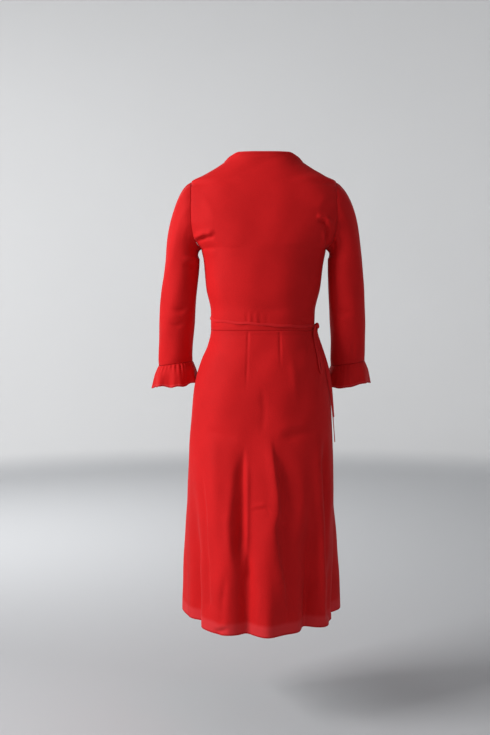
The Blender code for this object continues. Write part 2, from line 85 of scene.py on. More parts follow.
def read_smoothly(table: tuple, column: int, at: Array | float) -> Array:
    """Read one column of a table on a smooth line through its rows, with no overshoot.

    Args:
        table: rows whose first number rises.
        column: which number of each row to read.
        at: where along the first number to read it.

    Returns:
        The values there.
    """
    along = np.array([row[0] for row in table])
    value = np.array([row[column] for row in table])
    gap = np.diff(along)
    rise = np.diff(value) / gap
    slope = np.empty(len(value))
    slope[0], slope[-1] = rise[0], rise[-1]
    before, after = rise[:-1], rise[1:]
    same_way = before * after > 0
    total = np.where(same_way, before + after, 1.0)
    slope[1:-1] = np.where(same_way, 2.0 * before * after / total, 0.0)
    at = np.clip(np.asarray(at, float), along[0], along[-1])
    low = np.clip(np.searchsorted(along, at) - 1, 0, len(gap) - 1)
    share = (at - along[low]) / gap[low]
    square, cube = share * share, share**3
    return (
        value[low] * (2 * cube - 3 * square + 1)
        + slope[low] * gap[low] * (cube - 2 * square + share)
        + value[low + 1] * (3 * square - 2 * cube)
        + slope[low + 1] * gap[low] * (cube - square)
    )


def walked(grid: Array, axis: int) -> Array:
    """How far each point of a grid is from its line's first point, along the cloth."""
    steps = np.linalg.norm(np.diff(grid, axis=axis), axis=2)
    start = np.zeros_like(steps[:1] if axis == 0 else steps[:, :1])
    return np.concatenate([start, np.cumsum(steps, axis=axis)], axis=axis)


def facing(grid: Array, wrapped: bool = False) -> Array:
    """The outward direction at each point of a grid of rows that go up, each anticlockwise from above."""
    if wrapped:
        along = np.roll(grid, -1, axis=1) - np.roll(grid, 1, axis=1)
    else:
        along = np.gradient(grid, axis=1)
    out = np.cross(along, np.gradient(grid, axis=0))
    return out / np.maximum(np.linalg.norm(out, axis=2, keepdims=True), 1e-12)


def flipped(grid: Array) -> Array:
    """The same grid on the other side of the body, its rows still anticlockwise from above."""
    return (grid * np.array([-1.0, 1.0, 1.0]))[:, ::-1]


def through(points: tuple[Point, ...] | Array, spacing: float) -> Array:
    """A smooth run of points through given ones, about evenly spaced."""
    laid = [np.array(point, float) for point in points]
    ends = [2 * laid[0] - laid[1], *laid, 2 * laid[-1] - laid[-2]]
    run = []
    for before, start, end, after in zip(ends, ends[1:], ends[2:], ends[3:]):
        steps = max(1, round(float(np.linalg.norm(end - start)) / spacing))
        for step in range(steps):
            t = step / steps
            run.append(0.5 * (
                2 * start + (end - before) * t
                + (2 * before - 5 * start + 4 * end - after) * t * t
                + (3 * start - before - 3 * end + after) * t**3
            ))
    return np.array([*run, laid[-1]])


# ---------------------------------------------------------------- creases
@dataclass(frozen=True)
class Crease:
    """One crease, laid on a panel that is looked at straight on.

    Its path is (across, height) in metres; rise is above 0 for a ridge and below 0 for a trough.
    Where lean isn't 0, one flank is wide and the other steep: above 0, on a path that runs down a
    panel, the flank towards the panel's greater across is the wide one.
    """

    path: tuple[tuple[float, float], ...]
    rise: float
    half_width: float
    fade: float = 0.30
    first_end: float = 0.0
    last_end: float = 0.0
    lean: float = 0.0

    def push(self, across: Array, height: Array) -> Array:
        """How far the crease moves the cloth outwards at each place."""
        places = np.array(self.path)
        lengths = np.linalg.norm(np.diff(places, axis=0), axis=1)
        starts = np.concatenate([[0.0], np.cumsum(lengths)])
        nearest = np.full(np.shape(across), 1e9)
        share = np.zeros(np.shape(across))
        hand = np.zeros(np.shape(across))
        for place, step, length, start in zip(places, np.diff(places, axis=0), lengths, starts):
            along = ((across - place[0]) * step[0] + (height - place[1]) * step[1]) / length**2
            held = np.clip(along, 0.0, 1.0)
            away = np.hypot(across - place[0] - held * step[0], height - place[1] - held * step[1])
            closer = away < nearest
            nearest = np.where(closer, away, nearest)
            share = np.where(closer, (start + held * length) / starts[-1], share)
            beside = step[0] * (height - place[1]) - step[1] * (across - place[0])
            hand = np.where(closer, np.sign(beside), hand)
        in_first = self.first_end + (1 - self.first_end) * eased(share / self.fade)
        in_last = self.last_end + (1 - self.last_end) * eased((1 - share) / self.fade)
        uneven = 1.0 + 0.22 * np.sin(9.0 * share + 40.0 * self.path[0][0])
        width = self.half_width * (1.0 + self.lean * hand)
        return self.rise * in_first * in_last * uneven * np.exp(-((nearest / width) ** 2))


def creased(
    grid: Array, creases: tuple[Crease, ...], across: Array, height: Array, wrapped: bool = False,
) -> Array:
    """A grid with creases pressed into it.

    Args:
        grid: the cloth's points.
        creases: what to lay on it.
        across: each point's place across the panel.
        height: each point's height on it.
        wrapped: whether the rows close on themselves.

    Returns:
        The grid with every point moved along its own outward direction.
    """
    total = np.zeros(grid.shape[:2])
    for crease in creases:
        total += crease.push(across, height)
    return grid + facing(grid, wrapped) * total[:, :, None]


def slack(grid: Array, amount: float, seed: float) -> Array:
    """The soft unevenness of cloth that hangs free, as a push at each point.

    Args:
        grid: the cloth's points.
        amount: about how far it stands in or out.
        seed: where its pattern starts.

    Returns:
        One number for each point.
    """
    u, v = walked(grid, 1), walked(grid, 0)
    return amount * (
        np.sin(52 * u + 9 * v + seed) * 0.5
        + np.sin(31 * v - 14 * u + 2.1 * seed) * 0.35
        + np.sin(83 * u - 21 * v + 3.7 * seed) * 0.25
        + np.sin(64 * v + 37 * u + 1.3 * seed) * 0.20
    )


# ---------------------------------------------------------------- finishes
class Nodes:
    """A short hand for laying out one material's nodes."""

    def __init__(self, name: str) -> None:
        """Open a new material with its Principled shader."""
        self.material = bpy.data.materials.new(name)
        self.material.use_nodes = True
        self.tree = self.material.node_tree
        self.shader = self.tree.nodes["Principled BSDF"]

    def add(self, kind: str, **settings: object) -> bpy.types.Node:
        """Add a node and set its own settings by name."""
        node = self.tree.nodes.new(kind)
        for key, value in settings.items():
            setattr(node, key, value)
        return node

    def join(self, start: bpy.types.NodeSocket, end: bpy.types.NodeSocket) -> None:
        """Link one socket to another."""
        self.tree.links.new(start, end)

    def read(self, attribute: str) -> bpy.types.NodeSocket:
        """A number that the cloth carries at each of its points."""
        return self.add("ShaderNodeAttribute", attribute_name=attribute).outputs["Fac"]

    def grain(self, size: float, detail: float, source: bpy.types.NodeSocket) -> bpy.types.NodeSocket:
        """Soft random grain of a given size in metres."""
        noise = self.add("ShaderNodeTexNoise")
        noise.inputs["Scale"].default_value = 1.0 / size
        noise.inputs["Detail"].default_value = detail
        self.join(source, noise.inputs["Vector"])
        return noise.outputs["Fac"]

    def ranged(
        self, source: bpy.types.NodeSocket, low: float, high: float, start: float, end: float,
    ) -> bpy.types.NodeSocket:
        """A number brought smoothly from one range into another."""
        node = self.add("ShaderNodeMapRange", interpolation_type="SMOOTHSTEP")
        self.join(source, node.inputs["Value"])
        for key, value in (("From Min", low), ("From Max", high), ("To Min", start), ("To Max", end)):
            node.inputs[key].default_value = value
        return node.outputs["Result"]

    def mixed(self, share: bpy.types.NodeSocket, first: object, second: object) -> bpy.types.NodeSocket:
        """Two colours mixed by a share; each is a colour or the socket of one."""
        node = self.add("ShaderNodeMix", data_type="RGBA")
        self.join(share, node.inputs["Factor"])
        for socket, colour in ((node.inputs[6], first), (node.inputs[7], second)):
            if isinstance(colour, tuple):
                socket.default_value = (*colour, 1.0)
            else:
                self.join(colour, socket)
        return node.outputs[2]

    def sum(self, operation: str, first: object, second: object) -> bpy.types.NodeSocket:
        """Two numbers put together by a Math node; each is a number or the socket of one."""
        node = self.add("ShaderNodeMath", operation=operation)
        for socket, value in zip(node.inputs, (first, second)):
            if isinstance(value, float):
                socket.default_value = value
            else:
                self.join(value, socket)
        return node.outputs[0]


@dataclass(frozen=True)
class ClothFinish:
    """How one cloth looks: its colours, its threads, its grain and its shine."""

    name: str
    slot: str
    colour: Point
    shade: Point
    # colour of the unlined hem band, painted lighter and pinker as if lit through from behind
    backlit_sheer: Point
    roughness: float
    sheen: float
    sheen_tint: Point
    crinkle: float
    crinkle_height: float
    thread: float
    thread_height: float

    def dress(self, piece: bpy.types.Object, tag: str) -> None:
        """Give a piece its own material in this finish."""
        nodes = Nodes(f"{tag}_{self.name}")
        shader = nodes.shader
        place = nodes.add("ShaderNodeTexCoord")
        uv = place.outputs["UV"]
        broad = nodes.grain(0.085, 3.0, place.outputs["Object"])
        fine = nodes.grain(self.crinkle, 4.0, uv)
        colour = nodes.mixed(nodes.ranged(broad, 0.30, 0.72, 0.0, 0.34), self.colour, self.shade)
        colour = nodes.mixed(nodes.ranged(fine, 0.34, 0.66, 0.28, 0.0), colour, self.shade)
        from_hem, from_seam = nodes.read("from_hem"), nodes.read("from_seam")
        # painted light: near the hem the cloth is painted lighter and pinker, as where light from behind
        # shows through the unlined band
        colour = nodes.mixed(nodes.ranged(from_hem, 0.0205, 0.0320, 0.42, 0.0), colour, self.backlit_sheer)
        colour = nodes.mixed(nodes.ranged(from_seam, 0.0105, 0.0130, 0.16, 0.0), colour, self.shade)
        colour = nodes.mixed(nodes.ranged(from_seam, 0.0004, 0.0026, 0.26, 0.0), colour, self.shade)
        colour = nodes.mixed(nodes.ranged(from_hem, 0.0018, 0.0034, 0.80, 0.0), colour, self.shade)
        nodes.join(colour, shader.inputs["Base Color"])
        roughness = nodes.ranged(fine, 0.2, 0.8, self.roughness - 0.06, self.roughness + 0.07)
        nodes.join(roughness, shader.inputs["Roughness"])
        shader.inputs["Sheen Weight"].default_value = self.sheen
        shader.inputs["Sheen Roughness"].default_value = 0.45
        shader.inputs["Sheen Tint"].default_value = (*self.sheen_tint, 1.0)
        shader.inputs["Specular IOR Level"].default_value = 0.14
        across, along = self.threads(nodes, uv, "X"), self.threads(nodes, uv, "Y")
        weave = nodes.sum("MULTIPLY", nodes.sum("ADD", across, along), self.thread_height)
        crinkle = nodes.sum("MULTIPLY", fine, self.crinkle_height)
        seam = nodes.sum("MULTIPLY", nodes.ranged(from_seam, 0.0002, 0.0030, 0.0, 1.0), 0.00032)
        hem = nodes.sum("MULTIPLY", nodes.ranged(from_hem, 0.0030, 0.0042, 1.0, 0.0), 0.0004)
        total = nodes.sum("ADD", nodes.sum("ADD", weave, crinkle), nodes.sum("ADD", seam, hem))
        bump = nodes.add("ShaderNodeBump")
        bump.inputs["Distance"].default_value = 1.0
        bump.inputs["Strength"].default_value = 0.9
        nodes.join(total, bump.inputs["Height"])
        nodes.join(bump.outputs["Normal"], shader.inputs["Normal"])
        piece.data.materials.clear()
        piece.data.materials.append(nodes.material)

    def threads(self, nodes: Nodes, uv: bpy.types.NodeSocket, way: str) -> bpy.types.NodeSocket:
        """One set of the weave's threads, running one way on the cloth."""
        wave = nodes.add("ShaderNodeTexWave", wave_type="BANDS", bands_direction=way)
        wave.inputs["Scale"].default_value = 1.0 / (self.thread * math.tau / 0.6283)
        wave.inputs["Distortion"].default_value = 1.6
        wave.inputs["Detail"].default_value = 1.0
        nodes.join(uv, wave.inputs["Vector"])
        return wave.outputs["Fac"]


CREPE = ClothFinish(
    name="crepe", slot="crepe",
    colour=(0.630, 0.0085, 0.0100), shade=(0.450, 0.0040, 0.0052), backlit_sheer=(0.700, 0.0520, 0.0600),
    roughness=0.74, sheen=0.06, sheen_tint=(1.0, 0.30, 0.28),
    crinkle=0.0024, crinkle_height=0.00030, thread=0.0007, thread_height=0.00005,
)
LINING = ClothFinish(
    name="lining", slot="lining_cloth",
    colour=(0.430, 0.0085, 0.0130), shade=(0.300, 0.0050, 0.0080), backlit_sheer=(0.430, 0.0085, 0.0130),
    roughness=0.52, sheen=0.10, sheen_tint=(1.0, 0.45, 0.42),
    crinkle=0.0060, crinkle_height=0.00012, thread=0.0005, thread_height=0.00003,
)
TRIM = ClothFinish(
    name="trim", slot="trim",
    colour=(0.700, 0.0140, 0.0170), shade=(0.480, 0.0070, 0.0090), backlit_sheer=(0.700, 0.0140, 0.0170),
    roughness=0.68, sheen=0.10, sheen_tint=(1.0, 0.35, 0.32),
    crinkle=0.0016, crinkle_height=0.00022, thread=0.0006, thread_height=0.00005,
)
TAPE = ClothFinish(
    name="tape", slot="label_cloth",
    colour=(0.300, 0.0100, 0.0140), shade=(0.200, 0.0060, 0.0090), backlit_sheer=(0.300, 0.0100, 0.0140),
    roughness=0.48, sheen=0.10, sheen_tint=(1.0, 0.50, 0.50),
    crinkle=0.0012, crinkle_height=0.00010, thread=0.0004, thread_height=0.00006,
)


# ---------------------------------------------------------------- cloth pieces
@dataclass
class Sheet:
    """A cut piece of cloth on a grid of points: rows go up, each anticlockwise seen from above."""

    name: str
    node: str
    grid: Array
    finish: ClothFinish
    flat: tuple[float, float]
    area: float
    held: Held = Held.HUNG
    rests_on: tuple[str, ...] = ()
    from_hem: Array | None = None
    from_seam: Array | None = None
    wrapped: bool = False
    wall: float = 0.0006
    extras: list[bpy.types.Object] = field(default_factory=list)

    def build(self) -> bpy.types.Object:
        """Make the mesh, dress it and log its name and size."""
        rows, columns = self.grid.shape[:2]
        mesh = bpy.data.meshes.new(self.name)
        spans = columns if self.wrapped else columns - 1
        start = (np.arange(rows - 1)[:, None] * columns + np.arange(spans)[None, :]).ravel()
        beside = (np.arange(rows - 1)[:, None] * columns + (np.arange(spans)[None, :] + 1) % columns).ravel()
        faces = np.stack([start, beside, beside + columns, start + columns], axis=1)
        mesh.from_pydata(self.grid.reshape(-1, 3).tolist(), [], faces.tolist())
        self.lay_threads(mesh, faces, spans)
        for key, value in (("from_hem", self.from_hem), ("from_seam", self.from_seam)):
            layer = mesh.attributes.new(key, "FLOAT", "POINT")
            numbers = np.full(rows * columns, 1.0) if value is None else np.asarray(value, float).ravel()
            layer.data.foreach_set("value", numbers.astype(np.float32))
        mesh.shade_smooth()
        piece = bpy.data.objects.new(self.name, mesh)
        bpy.context.collection.objects.link(piece)
        wall = piece.modifiers.new("wall", "SOLIDIFY")
        wall.thickness = self.wall
        wall.offset = -1.0
        self.finish.dress(piece, self.name)
        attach(piece, "root")
        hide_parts(self.node)
        LOG.info("%s: %d x %d points", self.name, rows, columns)
        return piece

    def lay_threads(self, mesh: bpy.types.Mesh, faces: Array, spans: int) -> None:
        """Lay the cloth's own flat measure on the mesh, in metres, so that the weave follows the cloth."""
        rows, columns = self.grid.shape[:2]
        closed = np.concatenate([self.grid, self.grid[:, :1]], axis=1) if self.wrapped else self.grid
        across, up = walked(closed, 1), walked(closed, 0)
        row, column = np.divmod(faces[:, 0], columns)
        corners = ((row, column), (row, column + 1), (row + 1, column + 1), (row + 1, column))
        flat = np.stack([np.stack([across[r, c], up[r, c]], axis=1) for r, c in corners], axis=1)
        layer = mesh.uv_layers.new(name="cloth")
        layer.data.foreach_set("uv", flat.reshape(-1).astype(np.float32))


@dataclass
class Strip:
    """A narrow folded strip of cloth along a line, such as a tie or an edge's binding."""

    name: str
    node: str
    line: Array
    out: Array
    half_width: float
    half_wall: float
    finish: ClothFinish
    around: int = 12

    def build(self) -> bpy.types.Object:
        """Make the closed strip, dress it and put it on the frame."""
        along = np.gradient(self.line, axis=0)
        along /= np.linalg.norm(along, axis=1, keepdims=True)
        side = np.cross(along, self.out)
        side /= np.linalg.norm(side, axis=1, keepdims=True)
        out = np.cross(side, along)
        turn = np.arange(self.around) * math.tau / self.around
        wide = np.sign(np.cos(turn)) * np.abs(np.cos(turn)) ** 0.75 * self.half_width
        thick = np.sign(np.sin(turn)) * np.abs(np.sin(turn)) ** 0.75 * self.half_wall
        ring = self.line[:, None] + side[:, None] * wide[None, :, None] + out[:, None] * thick[None, :, None]
        count = len(self.line)
        points = [*ring.reshape(-1, 3).tolist(), self.line[0].tolist(), self.line[-1].tolist()]
        faces = []
        for row in range(count - 1):
            for index in range(self.around):
                a, b = row * self.around + index, row * self.around + (index + 1) % self.around
                faces.append((a, a + self.around, b + self.around, b))
        top = (count - 1) * self.around
        for index in range(self.around):
            after = (index + 1) % self.around
            faces.append((count * self.around, index, after))
            faces.append((count * self.around + 1, top + after, top + index))
        mesh = bpy.data.meshes.new(self.name)
        mesh.from_pydata(points, [], faces)
        mesh.update()
        run = walked(self.line[None], 1)[0]
        layer = mesh.uv_layers.new(name="cloth")
        for face in mesh.polygons:
            for corner, vertex in zip(face.loop_indices, face.vertices):
                row, index = divmod(min(vertex, count * self.around - 1), self.around)
                layer.data[corner].uv = (float(wide[index]), float(run[row]))
        from_seam = mesh.attributes.new("from_seam", "FLOAT", "POINT")
        from_hem = mesh.attributes.new("from_hem", "FLOAT", "POINT")
        far = np.full(len(points), 1.0, np.float32)
        from_hem.data.foreach_set("value", far)
        edge = np.abs(np.tile(wide, count) - self.half_width * 0.55) + 0.0012
        far[: count * self.around] = edge
        from_seam.data.foreach_set("value", far)
        mesh.shade_smooth()
        piece = bpy.data.objects.new(self.name, mesh)
        bpy.context.collection.objects.link(piece)
        self.finish.dress(piece, self.name)
        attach(piece, "root")
        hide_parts(self.node)
        LOG.info("%s: %d mm long", self.name, round(1000 * float(run[-1])))
        return piece


# ---------------------------------------------------------------- the worn form
@dataclass(frozen=True)
class WornForm:
    """The shape that the dress holds: levels below the underarm, and the yoke above it."""

    # height, half width to the left and the right, reach to the back and the front
    levels: tuple = (
        (-1.097, 0.182, 0.176, 0.138, 0.140), (-0.957, 0.182, 0.176, 0.136, 0.136),
        (-0.800, 0.181, 0.172, 0.132, 0.128), (-0.682, 0.179, 0.168, 0.124, 0.121),
        (-0.605, 0.173, 0.164, 0.118, 0.115), (-0.547, 0.168, 0.161, 0.113, 0.111),
        (-0.508, 0.161, 0.155, 0.108, 0.107), (-0.469, 0.149, 0.146, 0.102, 0.101),
        (-0.431, 0.133, 0.132, 0.094, 0.095), (-0.397, 0.126, 0.122, 0.089, 0.092),
        (-0.354, 0.126, 0.123, 0.089, 0.097), (-0.297, 0.137, 0.135, 0.095, 0.109),
        (-0.240, 0.142, 0.142, 0.100, 0.118), (-0.205, 0.147, 0.149, 0.102, 0.119),
    )
    # height, edge's reach, edge's depth behind and before, middle's depth behind and before
    yoke: tuple = (
        (-0.205, 0.1480, 0.0000, 0.0000, 0.102, 0.119), (-0.199, 0.1535, 0.0200, 0.0190, 0.102, 0.118),
        (-0.186, 0.1620, 0.0380, 0.0350, 0.101, 0.117), (-0.165, 0.1675, 0.0500, 0.0450, 0.099, 0.114),
        (-0.140, 0.1700, 0.0560, 0.0490, 0.096, 0.110), (-0.112, 0.1705, 0.0560, 0.0470, 0.091, 0.103),
        (-0.085, 0.1705, 0.0490, 0.0390, 0.085, 0.093), (-0.062, 0.1710, 0.0340, 0.0260, 0.079, 0.082),
        (-0.047, 0.1720, 0.0000, 0.0000, 0.074, 0.073), (-0.032, 0.1450, 0.0000, 0.0000, 0.070, 0.064),
        (-0.016, 0.1170, 0.0000, 0.0000, 0.065, 0.055), (-0.0015, 0.0950, 0.0000, 0.0000, 0.060, 0.046),
        (0.0100, 0.0810, 0.0250, 0.0000, 0.058, 0.046), (0.0180, 0.0620, 0.0415, 0.0000, 0.056, 0.046),
    )
    # bearing, push at the hem, spread in degrees, height where the fold starts
    folds: tuple = (
        (-24.0, 0.032, 14.0, -0.560), (17.0, -0.034, 10.0, -0.640), (55.0, 0.020, 13.0, -0.640),
        (73.0, -0.012, 6.0, -0.660), (93.0, 0.027, 13.0, -0.610), (136.0, -0.040, 9.0, -0.700),
        (166.0, -0.012, 10.0, -0.700), (186.0, -0.022, 9.0, -0.600), (207.0, 0.044, 14.0, -0.540),
        (238.0, -0.014, 9.0, -0.700), (259.0, 0.016, 10.0, -0.640), (284.0, -0.014, 9.0, -0.700),
        (308.0, 0.012, 9.0, -0.660),
    )
    wrap_crossing: float = 0.225
    wrap_top: float = 0.091
    wrap_at_waist: float = -0.088
    wrap_ease: float = 0.062
    wrap_lift: float = 0.0068
    armhole_rows: int = 9

    def fold_push(self, bearing: Array, height: Array) -> Array:
        """How far the skirt's folds move its wall outwards."""
        total = np.zeros(np.broadcast(bearing, height).shape)
        for middle, push, spread, starts in self.folds:
            away = (bearing - middle + 180.0) % 360.0 - 180.0
            grown = eased((starts - height) / (starts - HEM_HEIGHT))
            total = total + push * grown * np.exp(-((away / spread) ** 2))
        return total

    def below(self, bearing: Array, height: Array, out: Array | float = 0.0) -> Array:
        """Points of the form below the underarm, moved out level.

        Args:
            bearing: degrees round the form; 0 is the left side, 90 the back.
            height: height of each point.
            out: how far off the form it lies.

        Returns:
            The points, with x, y and z last.
        """
        bearing, height = np.broadcast_arrays(np.asarray(bearing, float), np.asarray(height, float))
        turn = np.radians(bearing)
        cos, sin = np.cos(turn), np.sin(turn)
        left, right, back, front = (read_smoothly(self.levels, column, height) for column in (1, 2, 3, 4))
        across = np.where(cos >= 0, left, right)
        deep = np.where(sin >= 0, back, front)
        share_x, share_y = np.abs(cos) / across, np.abs(sin) / deep
        far = (share_x**ROUNDNESS + share_y**ROUNDNESS) ** (-1.0 / ROUNDNESS)
        face_x = np.copysign((far * share_x) ** (ROUNDNESS - 1.0) / across, cos)
        face_y = np.copysign((far * share_y) ** (ROUNDNESS - 1.0) / deep, sin)
        push = (out + self.fold_push(bearing, height)) / np.hypot(face_x, face_y)
        return np.stack([far * cos + face_x * push, far * sin + face_y * push, height], axis=-1)

    def wrap_reach(self, height: Array) -> Array:
        """Where a front's wrap edge lies across the body: below 0 it is past the middle."""
        straight = self.wrap_top + height * self.wrap_top / self.wrap_crossing
        bent = WAIST_HEIGHT + 0.043
        at_bend = self.wrap_top + bent * self.wrap_top / self.wrap_crossing
        down = (bent - height) / (bent - WAIST_HEIGHT)
        to_waist = at_bend + (self.wrap_at_waist - at_bend) * down
        in_skirt = self.wrap_at_waist - 0.03 * (WAIST_HEIGHT - height)
        return np.where(height > bent, straight, np.where(height > WAIST_HEIGHT, to_waist, in_skirt))

    def section(self, height: Array, side: Side, back: bool) -> tuple[Array, Array, Array, Array]:
        """What draws one level of the bodice.

        Args:
            height: heights of the levels.
            side: the side that the level starts on.
            back: whether it is the back's or the front's.

        Returns:
            The oval's own and other half width, its depth and the angle at which the panel starts.
        """
        own, other = (1, 2) if side is Side.LEFT else (2, 1)
        deep = read_smoothly(self.yoke, 4 if back else 5, height)
        edge = read_smoothly(self.yoke, 1, height)
        edge_deep = read_smoothly(self.yoke, 2 if back else 3, height)
        wide = edge / (1.0 - np.clip(edge_deep / deep, 0, 0.999) ** ROUNDNESS) ** (1.0 / ROUNDNESS)
        first = np.arccos(np.clip(edge / wide, 0, 1) ** (ROUNDNESS / 2.0))
        fading = 1.0 - eased((height - UNDERARM_HEIGHT) / 0.05)
        shift = [read_smoothly(self.levels, c, UNDERARM_HEIGHT) - 0.148 for c in (own, other)]
        low = height <= UNDERARM_HEIGHT
        return (
            np.where(low, read_smoothly(self.levels, own, height), wide + shift[0] * fading),
            np.where(low, read_smoothly(self.levels, other, height), wide + shift[1] * fading),
            np.where(low, read_smoothly(self.levels, 3 if back else 4, height), deep),
            np.where(low, 0.0, first),
        )

    def bodice(self, heights: Array, shares: Array, side: Side, back: bool) -> Array:
        """A grid of the bodice, each row starting at a side's seam.

        Args:
            heights: the rows' heights.
            shares: 0 at the panel's first edge and 1 at its last.
            side: the side whose seam each row starts at.
            back: whether it is the back, which ends at the other seam, or a front, which ends at its wrap.

        Returns:
            The points, row by row.
        """
        own, other, deep, first = (a[:, None] for a in self.section(heights, side, back))
        if back:
            last = math.pi - first
        else:
            reach = self.wrap_reach(heights)[:, None]
            wide = np.where(reach >= 0, own, other)
            short = np.arccos(np.clip(np.abs(reach) / wide, 0, 1) ** (ROUNDNESS / 2.0))
            last = np.where(reach >= 0, short, math.pi - short)
        turn = first + (last - first) * shares[None, :]
        cos, sin = np.cos(turn), np.sin(turn)
        wide = np.where(cos >= 0, own, other)
        x = np.sign(cos) * wide * np.abs(cos) ** (2.0 / ROUNDNESS) * side.value
        y = deep * np.abs(sin) ** (2.0 / ROUNDNESS) * (1 if back else -1)
        return np.stack([x, y, np.broadcast_to(heights[:, None], x.shape)], axis=-1)

    def lifted(self, grid: Array, amount: Array) -> Array:
        """A front stood off level, nothing at its side seam and all of it past the ease."""
        way = grid * np.array([0.45, 1.0, 0.0])
        way /= np.linalg.norm(way, axis=2, keepdims=True)
        return grid + way * (amount[:, None] * eased(walked(grid, 1) / self.wrap_ease))[:, :, None]

    def armhole(self, turns: Array) -> Array:
        """The left armhole: turn 0 is the shoulder's tip, 90 the back and 180 the underarm."""
        rows = self.yoke[: self.armhole_rows]
        place = np.abs(8.0 - turns / 22.5)
        height = read_smoothly(tuple((i, row[0]) for i, row in enumerate(rows)), 1, place)
        x = read_smoothly(rows, 1, height)
        behind, before = read_smoothly(rows, 2, height), -read_smoothly(rows, 3, height)
        return np.stack([x, np.where(turns <= 180.0, behind, before), height], axis=-1)


def rolled(grid: Array, radius: float, steps: int, wrapped: bool = False) -> Array:
    """A grid whose bottom edge is rolled inwards on itself, as a narrow hem is.

    Args:
        grid: the cloth, its first row the edge.
        radius: the roll's radius.
        steps: how many rows draw the roll.
        wrapped: whether the rows close on themselves.

    Returns:
        The grid with the roll's rows before its first.
    """
    down = grid[0] - grid[1]
    down /= np.linalg.norm(down, axis=1, keepdims=True)
    inwards = -facing(grid, wrapped)[0]
    rows = []
    for step in range(steps, 0, -1):
        turn = math.radians(320.0 * step / steps)
        rows.append(grid[0] + down * radius * math.sin(turn) + inwards * radius * (1 - math.cos(turn)))
    return np.concatenate([np.array(rows), grid], axis=0)


